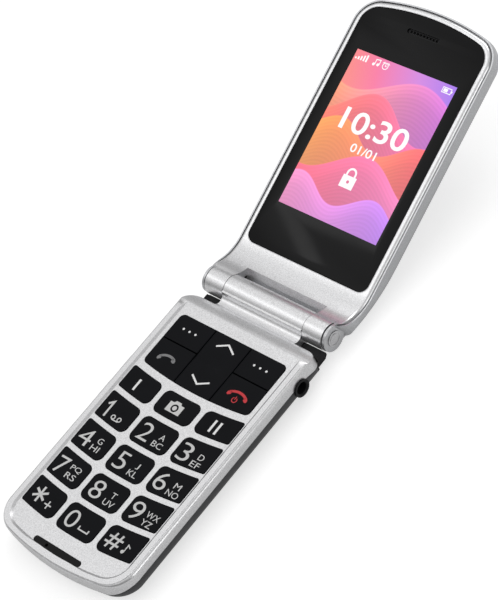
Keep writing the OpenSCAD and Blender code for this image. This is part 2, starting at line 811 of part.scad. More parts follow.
// Two cradle contacts at the mouth end, in notches of the front cover's lower edge
contact_w = 2;
contact_spots = [-4.5, 0];
contact_z = -1.6;
module contact_slot(x, half) {
    translate([x - half, base_reach - base_wall - 2.2, contact_z - 0.6 - (half - contact_w / 2)])
        cube([2 * half, 5, 1.2 + 2 * (half - contact_w / 2)]);
}
module charge_contacts() {
    color("#3a3a3c") base_place() intersection() {
        for (x = contact_spots) contact_slot(x, contact_w / 2);
        base_form(rim_z, 0.35);
    }
}

// Headset jack in the right side wall, near the hinge
jack_body_w = 5.6;
jack_set_in = 1.7;               // body and bezel meet this far inside the wall
module jack_plan(grow) {
    inner = base_half - jack_depth;
    translate([inner - grow, jack_s - jack_body_w / 2 - grow])
        square([base_half - jack_set_in - inner + 2 * grow, jack_body_w + 2 * grow]);
}
module jack_axis(r, a, b) { translate([0, jack_s, -jack_drop]) axle(r, a, b); }
module jack_hole() { jack_axis(jack_od / 2 + fit, base_half - 2.6, base_half + 3); }

jack_top = flange_low - key_travel - 2 * fit;
module jack_socket() {
    low = battery_floor + 0.2;
    color("#18181a") base_place() difference() {
        intersection() {
            translate([0, 0, low]) linear_extrude(jack_top - low) jack_plan(0);
            base_form(rim_z, cover_inset + back_wall + fit);
        }
        jack_axis(jack_bore / 2, base_half - jack_depth + 1, base_half);
    }
}

module jack_bezel() {
    inner = base_half - jack_set_in + fit;
    color("#0e0e10") base_place() difference() {
        jack_axis(jack_od / 2, inner, base_half + jack_proud);
        jack_axis(jack_bore / 2, inner - 1, base_half + 3);
        translate([base_half + jack_proud, jack_s, -jack_drop]) rotate([0, -90, 0])
            cylinder(r1 = jack_bore / 2 + 0.35, r2 = jack_bore / 2, h = 0.35);
    }
}

module sim_holder() {
    w = 13;
    l = 11;
    h = 1.3;
    from_jack = 0.3;
    x = base_half - jack_depth - from_jack - w;
    color("silver") base_place() translate([x, parts_near, chassis_z - fit - h]) difference() {
        cube([w, l, h]);
        translate([0.3, -1, 0.3]) cube([w - 0.6, l, h - 0.5]);
    }
}

module vibration_motor() {
    r = 1.9;
    z = chassis_z - fit - r;
    color("silver") base_place() translate([0, speaker_s, z]) {
        axle(r, speaker_w / 2 + 1, speaker_w / 2 + 8);
        intersection() {
            axle(r - 0.2, speaker_w / 2 - 0.5 + 1, speaker_w / 2 + 10);
            translate([speaker_w / 2 + 8.2, -r, -r]) cube([1.6, 2 * r, r]);
        }
        axle(0.35, speaker_w / 2 + 7.9, speaker_w / 2 + 9.9);
    }
}

module antenna() {
    w = 8.5;
    color("#b98b4e") base_place() difference() {
        translate([-speaker_w / 2 - 1 - w, speaker_s - 3, chassis_z - fit - 2]) cube([w, 6.4, 2]);
        translate([-speaker_w / 2 - w, speaker_s - 2, chassis_z - 3]) cube([w - 2, 4.4, 2.2]);
    }
}

module base_screws() {
    head = 1.3;
    color("gray") base_place() for (p = screw_spots) translate([p[0], p[1], 0]) {
        translate([0, 0, chassis_z - fit - 0.6]) difference() {
            cylinder(r = head, h = 0.6);
            translate([-0.6, -0.12, -eps]) cube([1.2, 0.24, 0.3]);
            translate([-0.12, -0.6, -eps]) cube([0.24, 1.2, 0.3]);
        }
        translate([0, 0, chassis_z - fit - eps]) cylinder(r = screw_r - 0.02, h = post_low + 1.6 - chassis_z);
    }
}

// ---------- hinge ----------

shaft_in = barrel_half - cartridge_l + 1;
shaft_out = knuckle_end - 1;

module hinge_cartridge() {
    color("#8d9095") base_place() difference() {
        axle(cartridge_r, barrel_half - cartridge_l + fit, barrel_half);
        axle(shaft_r + run_gap, barrel_half - cartridge_l - 1, barrel_half + 1);
    }
}

module hinge_shaft() {
    color("#b9bcc1") lid_place() axle(shaft_r, shaft_in, shaft_out);
}

module hinge_pivot() {
    color("#b9bcc1") lid_place() difference() {
        axle(pivot_r, -shaft_out, pivot_in - barrel_half - 0.3);
        axle(pivot_bore, -knuckle_end, barrel_half);
    }
}

ear_from = knuckle_end + 0.4;
module hinge_caps() {
    color("silver") lid_place() for (side = [0, 1]) mirror([side, 0, 0]) difference() {
        axle(cap_r - run_gap, ear_from + ear_t - 0.4, ear_from + ear_t - 0.4 + cap_t);
        translate([ear_from + ear_t + cap_t - 0.4, 0, 0]) rotate([0, 90, 0]) difference() {
            translate([0, 0, -0.12]) cylinder(r = cap_r - 0.5, h = 1);
            translate([0, 0, -1]) cylinder(r = cap_r - 0.8, h = 3);
        }
    }
}

// ---------- lid casing ----------

tan_v = neck_v * knuckle_r / (neck_r + knuckle_r);   // where the neck arc meets the knuckle
tan_n = neck_n * knuckle_r / (neck_r + knuckle_r);
neck_sweep = asin(neck_v / (neck_r + knuckle_r));
frame_inset = lip_w + frame_gap;
frame_half = lid_half - frame_inset;

module lid_plan(inset = 0, near = lid_near, near_corner = lid_near_corner) {
    plan(lid_half, lid_corner, lid_arch, lid_reach, near, near_corner, inset);
}

// Side view inside the flat back and its bend up to the hinge
module back_view() {
    translate([back_bend, back_n]) square([lid_reach, big]);
    intersection() {
        translate([back_bend, back_cn]) circle(back_r, $fn = 720);
        translate([-big, back_n]) square([big + back_bend + eps, big]);
    }
}

// Side view inside the front frame's underside and its neck; drop is the depth under the face
module over_frame(drop) {
    translate([neck_v, face_n - drop]) square([lid_reach, big]);
    intersection() {
        translate([neck_v, neck_n]) circle(neck_r + drop, $fn = 360);
        translate([-big, -big]) square([big + neck_v + eps, 2 * big]);
    }
}

// Section of the shell (x = inset, y = n): straight wall and rounded back edge
module shell_section(inset) {
    difference() {
        translate([inset, back_n + inset]) square([wide, shell_rise - inset]);
        translate([inset, back_n + inset]) round_cut(lid_belly_r - inset);
    }
}
shell_rise = 16;

// Whole rounded form of the shell; the round of the back edge follows the bend to the hinge
module shell_form(inset = 0, near = 0, near_corner = lid_near_corner) {
    start = lid_near + near + inset;
    difference() {
        union() {
            edge_form(lid_half, lid_corner, lid_arch, lid_reach, back_bend) shell_section(inset);
            translate([0, back_bend, back_cn]) rotate([0, 90, 0]) mirror([0, 1, 0])
                rotate_extrude(angle = back_sweep, $fn = 720) translate([back_cn, 0]) rotate(90)
                    both_sides(lid_half) shell_section(inset);
        }
        across() translate([-big, -big]) square([big + start, 3 * big]);
        near_corners(lid_half - inset, start, near_corner);
    }
}

// Side view of the space over the lip that falls toward the barrel
module over_lip() {
    top = neck_n - sqrt(pow(neck_r, 2) - pow(neck_v - lip_top, 2));
    polygon([[-big, top - lip_fall], [lip_end, top - lip_fall], [lip_top, top], [lip_top, big], [-big, big]]);
}

// Room for the base's barrel and its arm between the knuckles
module barrel_room() {
    axle(barrel_r + scoop_gap, -barrel_half - end_gap, barrel_half + end_gap);
    across(barrel_half + end_gap) over_lip();
}

// Section of the frame's edge (x = inset from the shell's outline, y = n)
module frame_edge() {
    difference() {
        translate([frame_inset, frame_low]) square([wide, frame_t]);
        translate([frame_inset, face_n]) mirror([0, 1]) round_cut(frame_edge_r);
    }
}

// Section across the frame's neck: x across, y down from its face
module neck_section() {
    difference() {
        translate([-frame_half, 0]) square([2 * frame_half, frame_t]);
        for (side = [0, 1]) mirror([side, 0]) translate([frame_half, 0]) mirror([1, 0])
            round_cut(frame_edge_r);
    }
}

module lid_frame() {
    color("gainsboro") lid_place() difference() {
        union() {
            edge_form(lid_half, lid_corner, lid_arch, lid_reach, neck_v) frame_edge();
            difference() {
                translate([0, neck_v, neck_n]) rotate([0, 90, 0]) mirror([0, 1, 0])
                    rotate_extrude(angle = neck_sweep, $fn = 360) translate([neck_r, 0])
                        rotate(90) mirror([0, 1]) neck_section();
                near_corners(frame_half, lid_near + frame_inset, lid_near_corner - frame_inset);
            }
            for (side = [0, 1]) mirror([side, 0, 0]) axle(knuckle_r, barrel_half + end_gap, knuckle_end);
        }
        barrel_room();
        axle(shaft_r + pin_fit, 0, shaft_out + fit);
        axle(pivot_r + pin_fit, -shaft_out - fit, 0);
        for (side = [0, 1]) mirror([side, 0, 0]) axle(ear_r + fit, ear_from - fit, lid_half);
        translate([0, 0, lens_low - fit / 2]) linear_extrude(big) lens_plan(fit);
        translate([0, 0, -big]) linear_extrude(big) lens_plan(-ledge_w);
        for (p = lid_screw_spots) translate([p[0], p[1], 0]) {
            translate([0, 0, lens_low - head_t - 2 * fit]) cylinder(r = head_r + fit, h = 2);
            translate([0, 0, -big]) cylinder(r = lid_screw_r + fit, h = big);
        }
        translate([magnet_x, magnet_v, frame_low - 1]) cylinder(r = magnet_r + fit, h = magnet_t + fit + 1);
    }
}
pin_fit = 0.02;
lid_screw_r = 0.6;
head_r = 0.95;
head_t = 0.4;
lid_screw_spots = [for (v = [lens_near + ledge_w + 1.6, lens_far - 9.6], side = [-1, 1])
    [side * (lens_w / 2 - ledge_w / 2), v]];
magnet_r = 1.3;
magnet_t = 0.7;
magnet_x = lens_w / 2 - 0.6;
magnet_back = 15;
magnet_v = lens_far - magnet_back;

module lid_shell() {
    color("#d4d5d8") lid_place() difference() {
        union() {
            difference() {
                shell_form();
                across() over_frame(frame_stand);
                across() translate([-big, tan_n]) square([big + tan_v + 1, big]);
                intersection() {
                    translate([0, 0, -big]) linear_extrude(2 * big) lid_plan(lip_w);
                    across() over_frame(frame_t + fit);
                }
                shell_form(lid_wall, 5, 1.5);
            }
            back_apron();
            for (p = lid_screw_spots) translate([p[0], p[1], lid_floor - eps])
                cylinder(r = lid_post_r, h = frame_low - fit - lid_floor + eps);
            for (side = [0, 1]) mirror([side, 0, 0]) axle(ear_r, ear_from, ear_from + ear_t);
        }
        axle(knuckle_r + 0.15, -ear_from, ear_from);
        barrel_room();
        for (side = [0, 1]) mirror([side, 0, 0]) axle(cap_r, ear_from + cap_seat, ear_from + ear_t + 5);
        for (p = lid_screw_spots) translate([p[0], p[1], frame_low - screw_bite])
            cylinder(r = lid_screw_r + pin_fit, h = screw_bite + 1);
        translate([0, camera_v, back_n - 1]) cylinder(r = camera_ring_r + fit, h = lid_wall + 2);
    }
}
lid_post_r = 1.4;
screw_bite = 2;
cap_seat = 0.4;                  // floor of the cap's recess in the end disc

// The back wraps on under the knuckles
module back_apron() {
    across(knuckle_end) difference() {
        intersection() {
            back_view();
            translate([-0.5, back_n]) square([lid_near + 1, big]);
        }
        circle(knuckle_r);
        translate([-big, 0]) square([2 * big, big]);
    }
}

// ---------- lid inner pieces ----------

module lens_plan(grow = 0) {
    plan(lens_w / 2, lens_corner, lid_arch, lens_far, lens_near, lens_near_corner, -grow);
}

// Slot with round ends across the lid
module ear_slot(grow = 0) {
    translate([0, ear_slot_v]) rotate(90) slot_plan(ear_slot_l + 2 * grow, ear_slot_w + 2 * grow);
}

module display_lens() {
    color("#0a0a0c") lid_place() translate([0, 0, lens_low]) linear_extrude(lens_t) difference() {
        lens_plan();
        ear_slot();
    }
}

module display_panel() {
    rim = 0.6;
    color("#c8586a") lid_place() difference() {
        translate([-panel_w / 2, panel_near, panel_low]) cube([panel_w, panel_l, panel_t]);
        translate([-panel_w / 2 + rim, panel_near + rim, panel_low - eps])
            cube([panel_w - 2 * rim, panel_l - 2 * rim, 0.3]);
    }
}

module earpiece_grille() {
    holes = 9;
    pitch = (ear_slot_l - ear_slot_w) / holes;
    color("#242427") lid_place() difference() {
        union() {
            translate([0, 0, lens_low]) linear_extrude(lens_t * 0.45) ear_slot(-fit);
            translate([0, 0, lens_low - fit - 0.25]) linear_extrude(0.25 + fit) ear_slot(-fit);
        }
        for (k = [0 : holes - 1]) translate([(k - (holes - 1) / 2) * pitch, ear_slot_v, lens_low - 1])
            cylinder(r = pitch / 3, h = 2, $fn = 24);
    }
}

module earpiece_speaker() {
    w = 11;
    l = 4.6;
    t = 2.2;
    top = lens_low - 0.25 - 2 * fit;
    color("#2b2b2e") lid_place() translate([-w / 2, ear_slot_v - l + 2.1, top - t]) difference() {
        cube([w, l, t]);
        translate([1, 1, t - 0.3]) cube([w - 2, l - 2, 1]);
    }
}

lid_board_t = 0.6;
lid_board_n = panel_low - 0.1 - lid_board_t;
lid_board_from = panel_near - 4;
lid_board_to = lens_far - 9;

module lid_board() {
    half = panel_w / 2 - 0.8;
    color("#1f5c3a") lid_place() difference() {
        translate([-half, lid_board_from, lid_board_n])
            cube([2 * half, lid_board_to - lid_board_from, lid_board_t]);
        for (side = [-1, 1]) translate([side * half, lid_board_to, lid_board_n - 1]) cylinder(r = 3, h = 3);
    }
}

module camera_module() {
    low = back_n + lid_wall - 0.6;
    color("#202024") lid_place() difference() {
        union() {
            translate([-camera_side / 2, camera_v - camera_side / 2, lid_floor + fit])
                cube([camera_side, camera_side, lid_board_n - lid_floor - 2 * fit]);
            translate([0, camera_v, low]) cylinder(r = camera_lens_r, h = 1);
        }
        translate([0, camera_v, low - 1]) cylinder(r1 = camera_lens_r - 0.3, r2 = 0.8, h = 1.8);
    }
}

module camera_lens() {
    color("#15161c") lid_place() translate([0, camera_v, back_n - camera_proud + 0.15])
        cylinder(r = camera_lens_r - run_gap, h = lid_wall + camera_proud - 0.8);
}

module camera_ring() {
    color("silver") lid_place() difference() {
        union() {
            translate([0, camera_v, back_n]) cylinder(r = camera_ring_r, h = lid_wall - 0.1);
            translate([0, camera_v, back_n - camera_proud])
                cylinder(r1 = camera_ring_r - camera_proud, r2 = camera_ring_r, h = camera_proud);
        }
        translate([0, camera_v, back_n - 1]) cylinder(r = camera_lens_r + fit, h = 4);
        translate([0, camera_v, back_n - camera_proud - eps])
            cylinder(r1 = camera_lens_r + 0.5, r2 = camera_lens_r, h = 0.5);
    }
}

module lid_magnet() {
    color("silver") lid_place() translate([magnet_x, magnet_v, frame_low])
        cylinder(r = magnet_r, h = magnet_t);
}

module lid_screws() {
    color("gray") lid_place() for (p = lid_screw_spots) translate([p[0], p[1], lens_low - head_t - fit]) {
        difference() {
            cylinder(r = head_r, h = head_t);
            translate([-0.5, -0.1, head_t - 0.2]) cube([1, 0.2, 1]);
            translate([-0.1, -0.5, head_t - 0.2]) cube([0.2, 1, 1]);
        }
        translate([0, 0, -(lens_low - head_t - fit - frame_low) - screw_bite + 0.3])
            cylinder(r = lid_screw_r, h = lens_low - head_t - fit - frame_low + screw_bite - 0.3 + eps);
    }
}

// Thin ribbon from the lid's board toward the hollow pivot
module display_flex() {
    t = 0.15;
    w = 6;
    a = [lid_board_from + 3, lid_board_n - fit];
    b = [lid_board_from - 2, lid_board_n - fit];
    c = [lid_near + 7.2, lid_board_n + 1.1];
    color("#c77f2a") lid_place() translate([-panel_w / 2 + 2 + w / 2, 0, 0]) across(w / 2)
        polygon([a, b, c, c - [0, t], b - [0, t], a - [0, t]]);
}

// ---------- keys ----------

// Outline between two arched edges and two straight sides x0 < x1
module key_plan(x0, x1, s0, s1, r_left, r_right, grow = 0) {
    top = s0 - row_arch;
    low = s1 - row_arch;
    intersection() {
        translate([x0 - grow, s0 - 10]) square([x1 - x0 + 2 * grow, s1 - s0 + 20]);
        difference() {
            translate([0, low]) circle(row_arch + grow, $fn = 720);
            translate([0, top]) circle(row_arch - grow, $fn = 720);
            for (side = [-1, 1]) {
                r = side < 0 ? r_left : r_right;
                cx = side < 0 ? x0 + r : x1 - r;
                up = [cx, top + sqrt(pow(row_arch + r, 2) - cx * cx)];
                down = [cx, low + sqrt(pow(row_arch - r, 2) - cx * cx)];
                corner_cut(up, [side, 0], ([0, top] - up) / (row_arch + r), r + grow);
                corner_cut(down, [side, 0], (down - [0, low]) / (row_arch - r), r + grow);
            }
        }
    }
}

// Key outline in column -1, 0 or 1, between s0 and s1 on the middle line
module column_key(column, s0, s1, grow = 0) {
    if (column == 0) key_plan(-key_mid, key_mid, s0, s1, key_corner, key_corner, grow);
    if (column < 0) key_plan(-key_outer, -key_inner, s0, s1, key_outer_corner, key_corner, grow);
    if (column > 0) key_plan(key_inner, key_outer, s0, s1, key_corner, key_outer_corner, grow);
}

// Outline of the function panel
module pad_plan(grow = 0) {
    mid = [0, pad_far - row_arch];
    r = pad_corner;
    difference() {
        intersection() {
            translate([-pad_half - grow, pad_near - grow]) square([2 * (pad_half + grow), big]);
            translate(mid) circle(row_arch + grow, $fn = 720);
        }
        for (side = [-1, 1]) {
            cx = side * (pad_half - r);
            low = [cx, mid[1] + sqrt(pow(row_arch - r, 2) - cx * cx)];
            corner_cut([cx, pad_near + r], [side, 0], [0, -1], r + grow);
            corner_cut(low, [side, 0], (low - mid) / (row_arch - r), r + grow);
        }
    }
}

// Cell of the panel, from x0 to x1 and s0 to s1, with the panel's own outline at its outer edges
module pad_cell(x0, x1, s0, s1, grow = 0) {
    intersection() {
        pad_plan(grow);
        translate([x0, s0]) square([x1 - x0, s1 - s0]);
    }
}

// Key from two outlines: its cap, and the flange under the deck
module keycap(flange_h = key_flange_t) {
    color("#141519") base_place() translate([0, 0, flange_low]) {
        linear_extrude(key_top - flange_low) children(0);
        linear_extrude(flange_h) children(1);
    }
}

// Key of the number rows, by row 0 to 3 and column -1 to 1
module number_key(row, column) {
    s0 = rows_from + row * row_pitch;
    keycap() {
        column_key(column, s0, s0 + key_l);
        column_key(column, s0, s0 + key_l, key_flange);
    }
}

module memory_key(column) {
    keycap() {
        column_key(column, memory_row, memory_row + memory_l);
        column_key(column, memory_row, memory_row + memory_l, key_flange);
    }
}

// Outer key of the panel: side -1 or 1, upper or lower
module pad_key(side, upper) {
    in = rocker_half + pad_gap;
    x0 = side < 0 ? -big : in;
    x1 = side < 0 ? -in : big;
    s0 = upper ? 0 : pad_split + pad_gap / 2;
    s1 = upper ? pad_split - pad_gap / 2 : 2 * pad_far;
    keycap() {
        pad_cell(x0, x1, s0, s1);
        pad_cell(x0, x1, s0, s1, key_flange);
    }
}

// Middle of the panel: tilts about its crease, so its flange is thin enough to rise at the ends
module key_rocker() {
    keycap(key_flange_t - tilt_room) {
        pad_cell(-rocker_half, rocker_half, 0, 2 * pad_far);
        pad_cell(-rocker_half, rocker_half, 0, 2 * pad_far, key_flange);
    }
}
tilt_room = 0.35;

module key_holes() {
    translate([0, 0, deck_under - 0.5]) linear_extrude(big) {
        pad_plan(key_gap);
        for (column = [-1 : 1]) {
            column_key(column, memory_row, memory_row + memory_l, key_gap);
            for (row = [0 : 3]) column_key(column, rows_from + row * row_pitch,
                                           rows_from + row * row_pitch + key_l, key_gap);
        }
    }
}

// Volume rocker in the left side wall, with a flange behind the wall
volume_z = (seam_z + rim_z - rim_step - shoulder_r) / 2;
module volume_hole() {
    gap = 0.15;
    translate([-base_half - 2, volume_s - volume_l / 2 - gap, volume_z - volume_h / 2 - gap])
        cube([base_wall + 3, volume_l + 2 * gap, volume_h + 2 * gap]);
}
module volume_rocker() {
    r = 0.6;
    grip_r = 8;
    grip_depth = 0.3;
    inner = -base_half + base_wall + tilt_room;
    outer = -base_half - volume_proud;
    color("gainsboro") base_place() translate([0, volume_s, volume_z - volume_h / 2]) {
        linear_extrude(volume_h) difference() {
            translate([outer, -volume_l / 2]) square([inner + 0.9 - outer, volume_l]);
            for (end = [-1, 1]) corner_cut([outer + r, end * (volume_l / 2 - r)], [-1, 0], [0, end], r);
            translate([outer - grip_r + grip_depth, 0]) circle(grip_r);
        }
        translate([0, 0, 0.1]) linear_extrude(volume_h - 0.2) translate([inner, -volume_l / 2 - 0.5])
            square([0.9, volume_l + 1]);
    }
}

front_cover();
battery_cover();
chassis();
battery();
battery_contacts();
main_board();
shield_can();
key_domes();
keypad_mat();
mouth_bumper();
microphone();
loudspeaker();
usb_socket();
charge_contacts();
jack_socket();
jack_bezel();
sim_holder();
vibration_motor();
antenna();
base_screws();
hinge_cartridge();
lid_frame();
lid_shell();
display_lens();
display_panel();
earpiece_grille();
earpiece_speaker();
lid_board();
camera_module();
camera_lens();
camera_ring();
hinge_shaft();
hinge_pivot();
hinge_caps();
lid_magnet();
lid_screws();
display_flex();
pad_key(-1, true);  // key_soft_left
pad_key(1, true);  // key_soft_right
pad_key(-1, false);  // key_call
pad_key(1, false);  // key_end
key_rocker();
memory_key(-1);  // key_memory_one
memory_key(0);  // key_camera
memory_key(1);  // key_memory_two
number_key(0, -1);  // key_1
number_key(0, 0);  // key_2
number_key(0, 1);  // key_3
number_key(1, -1);  // key_4
number_key(1, 0);  // key_5
number_key(1, 1);  // key_6
number_key(2, -1);  // key_7
number_key(2, 0);  // key_8
number_key(2, 1);  // key_9
number_key(3, -1);  // key_star
number_key(3, 0);  // key_0
number_key(3, 1);  // key_hash
volume_rocker();
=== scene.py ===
import bpy, bmesh, json, math
from mathutils import Euler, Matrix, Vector
from mathutils.bvhtree import BVHTree
from mathutils.geometry import tessellate_polygon


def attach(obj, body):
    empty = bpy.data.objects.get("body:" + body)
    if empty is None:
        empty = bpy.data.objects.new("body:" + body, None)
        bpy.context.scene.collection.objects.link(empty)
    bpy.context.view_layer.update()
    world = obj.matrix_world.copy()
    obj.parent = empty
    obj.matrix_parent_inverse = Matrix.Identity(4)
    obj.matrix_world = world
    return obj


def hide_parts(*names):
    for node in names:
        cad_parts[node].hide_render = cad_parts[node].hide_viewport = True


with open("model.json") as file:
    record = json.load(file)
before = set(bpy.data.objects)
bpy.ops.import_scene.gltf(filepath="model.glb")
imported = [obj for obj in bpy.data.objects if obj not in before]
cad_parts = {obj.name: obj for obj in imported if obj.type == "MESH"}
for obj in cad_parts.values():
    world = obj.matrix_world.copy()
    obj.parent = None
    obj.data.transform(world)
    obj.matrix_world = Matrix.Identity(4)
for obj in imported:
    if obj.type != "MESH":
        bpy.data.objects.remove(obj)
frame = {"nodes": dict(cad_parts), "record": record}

bl_info = {
    "name": "Flip phone finish",
    "version": (1, 0, 0),
    "blender": (4, 5, 0),
    "location": "3D View > Sidebar > Phone",
    "description": "Dresses the packed flip phone: casings, lens, display, keys, legends and stage",
    "category": "Object",
}

MM = 0.001
HINGE = Vector((0.0, 51.1, 5.9))  # hinge axis, in mm, from the base's rest face
REST_TILT = math.radians(20.4)  # the open lid's slope
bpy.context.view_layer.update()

# The casing's own sizes in mm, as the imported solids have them: s and v run from the hinge axis
ROW_ARCH = 130.0
DECK = {"key_top": 3.85, "flange": (1.75, 2.45), "flange_out": 0.5, "rocker_room": 0.32}
# Columns: left and right edge, radii of the left and right corners. Rows: near and far edge
COLUMNS = {-1: (-21.3, -8.7, 0.6, 2.0), 0: (-6.8, 6.8, 2.0, 2.0), 1: (8.7, 21.3, 2.0, 0.6)}
ROWS = {"memory": (36.6, 44.1), 0: (46.0, 54.55), 1: (56.37, 64.92), 2: (66.74, 75.29),
        3: (77.11, 85.66)}
PAD = {"half": 20.2, "near": 14.9, "far": 34.2, "corner": 1.6, "inner_corner": 0.25, "split": 23.7,
       "rocker": 6.65, "gap": 0.3}
CREASE = {"depth": 0.22, "width": 0.38}  # groove across the rocker
LENS = {"half": 22.7, "corner": 6.0, "arch": 87.0, "far": 92.6, "near": 14.4, "near_corner": 3.0,
        "low": -5.3, "top": -4.4, "edge": 0.22}
BEAD = {"r": 0.12, "out": 0.02, "up": 0.08}  # bright bead round the lens, over its edge
WINDOW = {"half": 18.4, "near": 28.2, "far": 77.2}
EAR_SLOT = {"v": 87.3, "l": 11.7, "w": 1.4, "mesh_up": 0.41}
BARREL = {"half": 15.1, "scoop": 4.55, "end": 6.6, "ledge": 10.0}
ABOVE_KEYS = 6.0  # prints drop on the caps from this height
MARK_LIFT = 0.006  # thickness of the display's marks
HOLE_SHADE_LIFT = 0.004  # thickness of the dark dots painted as the shade in the grille's holes
SPAN = 0.9  # longest span of a print

UP = Vector((0.0, 0.0, 1.0))


# ---------- places ----------

def base_mm(x, s, z):
    """Base point: s from the hinge axis toward the mouth end, z up from the axis."""
    return Vector((x, HINGE.y - s, HINGE.z + z)) * MM


def lid_mm(x, v, n):
    """Lid point: v from the hinge axis toward the earpiece, n out of the display."""
    c, k = math.cos(REST_TILT), math.sin(REST_TILT)
    return Vector((x, HINGE.y + v * c - n * k, HINGE.z + v * k + n * c)) * MM


LID_OUT = (lid_mm(0, 0, 1) - lid_mm(0, 0, 0)).normalized()


# ---------- settings ----------

class PhoneFinish(bpy.types.PropertyGroup):
    silver: bpy.props.FloatVectorProperty(
        name="Silver paint", description="Colour of the front cover and the lid's frame",
        default=(0.78, 0.78, 0.79), size=3, subtype="COLOR", min=0, max=1)
    shell: bpy.props.FloatVectorProperty(
        name="Shell paint", description="Colour of the lid's back shell",
        default=(0.60, 0.605, 0.62), size=3, subtype="COLOR", min=0, max=1)
    cover: bpy.props.FloatVectorProperty(
        name="Back cover", description="Colour of the base's back cover",
        default=(0.055, 0.055, 0.058), size=3, subtype="COLOR", min=0, max=1)
    key: bpy.props.FloatVectorProperty(
        name="Key", description="Colour of the key caps",
        default=(0.0045, 0.0048, 0.0062), size=3, subtype="COLOR", min=0, max=1)
    legend: bpy.props.FloatVectorProperty(
        name="Legend", description="Colour of the printed digits and letters",
        default=(0.64, 0.64, 0.635), size=3, subtype="COLOR", min=0, max=1)
    grain: bpy.props.FloatProperty(
        name="Paint grain", description="Size of the flakes in the silver paint",
        default=0.00030, min=0.00005, max=0.002, unit="LENGTH")


class PhoneKeys(bpy.types.PropertyGroup):
    crown: bpy.props.FloatProperty(
        name="Key crown", description="Fall of a key's top from its middle to its edge",
        default=0.00010, min=0, max=0.0003, unit="LENGTH")
    edge: bpy.props.FloatProperty(
        name="Key edge", description="Radius of the key caps' top edge",
        default=0.00022, min=0.00005, max=0.0004, unit="LENGTH")
    print_height: bpy.props.FloatProperty(
        name="Print height", description="Thickness of a printed legend over the cap",
        default=0.00001, min=0.000002, max=0.0001, unit="LENGTH")


# ---------- materials ----------

class Shader:
    """The node tree of a new material or world, with short calls for the few kinds of node used."""

    def __init__(self, name, blocks="materials", output="ShaderNodeOutputMaterial"):
        self.block = getattr(bpy.data, blocks).new(name)
        self.block.use_nodes = True
        self.tree = self.block.node_tree
        self.tree.nodes.clear()
        self.out = self.node(output)

    def node(self, kind, **inputs):
        """A new node; inputs are named as its settings and sockets are, or numbered _0, _1."""
        n = self.tree.nodes.new(kind)
        for key, value in inputs.items():
            self.put(n, key, value)
        return n

    def put(self, n, key, value):
        if hasattr(n, key) and key not in n.inputs:
            setattr(n, key, value)
            return
        socket = n.inputs[int(key[1:])] if key[0] == "_" else n.inputs[key.replace("_", " ")]
        if isinstance(value, bpy.types.NodeSocket):
            self.tree.links.new(value, socket)
        elif isinstance(value, bpy.types.Node):
            self.tree.links.new(value.outputs[0], socket)
        else:
            if socket.type == "RGBA" and len(value) == 3:
                value = (*value, 1.0)
            socket.default_value = value

    def paint(self, **inputs):
        """A Principled surface as the output; returns the node."""
        p = self.node("ShaderNodeBsdfPrincipled", **inputs)
        self.put(self.out, "Surface", p)
        return p

    def place(self, scale=1.0):
        """Object coordinates in millimetres over scale."""
        tex = self.node("ShaderNodeTexCoord")
        m = self.node("ShaderNodeMapping", Vector=tex.outputs["Object"])
        m.inputs["Scale"].default_value = (1000 / scale,) * 3
        return m.outputs[0]

    def noise(self, vector, detail=2.0, scale=1.0, rough=0.5):
        return self.node("ShaderNodeTexNoise", Vector=vector, Scale=scale, Detail=detail,
                         Roughness=rough).outputs[0]

    def math(self, op, a, b=0.0, clamp=False):
        n = self.node("ShaderNodeMath", operation=op, use_clamp=clamp, _0=a, _1=b)
        return n.outputs[0]

    def ramp(self, fac, *stops):
        n = self.node("ShaderNodeValToRGB", Fac=fac)
        bar = n.color_ramp.elements
        while len(bar) < len(stops):
            bar.new(0.5)
        for e, (at, color) in zip(bar, stops):
            e.position = at
            e.color = (*color, 1.0) if len(color) == 3 else color
        return n.outputs[0]

    def mix(self, factor, a, b, blend="MIX"):
        n = self.node("ShaderNodeMix", data_type="RGBA", blend_type=blend, _0=factor, _6=a, _7=b)
        return n.outputs[2]

    def ease(self, value, start, end, low=0.0, high=1.0):
        """Goes softly from low at start to high at end."""
        n = self.node("ShaderNodeMapRange", interpolation_type="SMOOTHSTEP", Value=value)
        for key, at in (("From Min", start), ("From Max", end), ("To Min", low), ("To Max", high)):
            n.inputs[key].default_value = at
        return n.outputs[0]

    def bump(self, height, strength, distance):
        return self.node("ShaderNodeBump", Height=height, Strength=strength,
                         Distance=distance).outputs[0]


def shade(color, k):
    return tuple(min(1.0, c * k) for c in color)


def metallic_paint(name, color, grain, metallic=0.88, rough=0.30):
    """Silver paint: fine flakes that vary in brightness and roughness, under a thin clear coat."""
    m = Shader(name)
    fine = m.noise(m.place(grain / MM), detail=3.0, rough=0.7)
    broad = m.noise(m.place(14.0), detail=2.0)
    tint = m.ramp(fine, (0.3, shade(color, 0.74)), (0.7, shade(color, 1.18)))
    haze = m.ramp(broad, (0.3, (0.7, 0.7, 0.7)), (0.7, (1, 1, 1)))
    p = m.paint(Metallic=metallic, Coat_Weight=0.2, Coat_Roughness=0.15)
    m.put(p, "Base Color", m.mix(0.06, tint, haze, "MULTIPLY"))
    m.put(p, "Roughness", m.math("ADD", m.math("MULTIPLY", fine, 0.10), rough - 0.05))
    m.put(p, "Normal", m.bump(fine, 0.10, 0.00001))
    return m.block


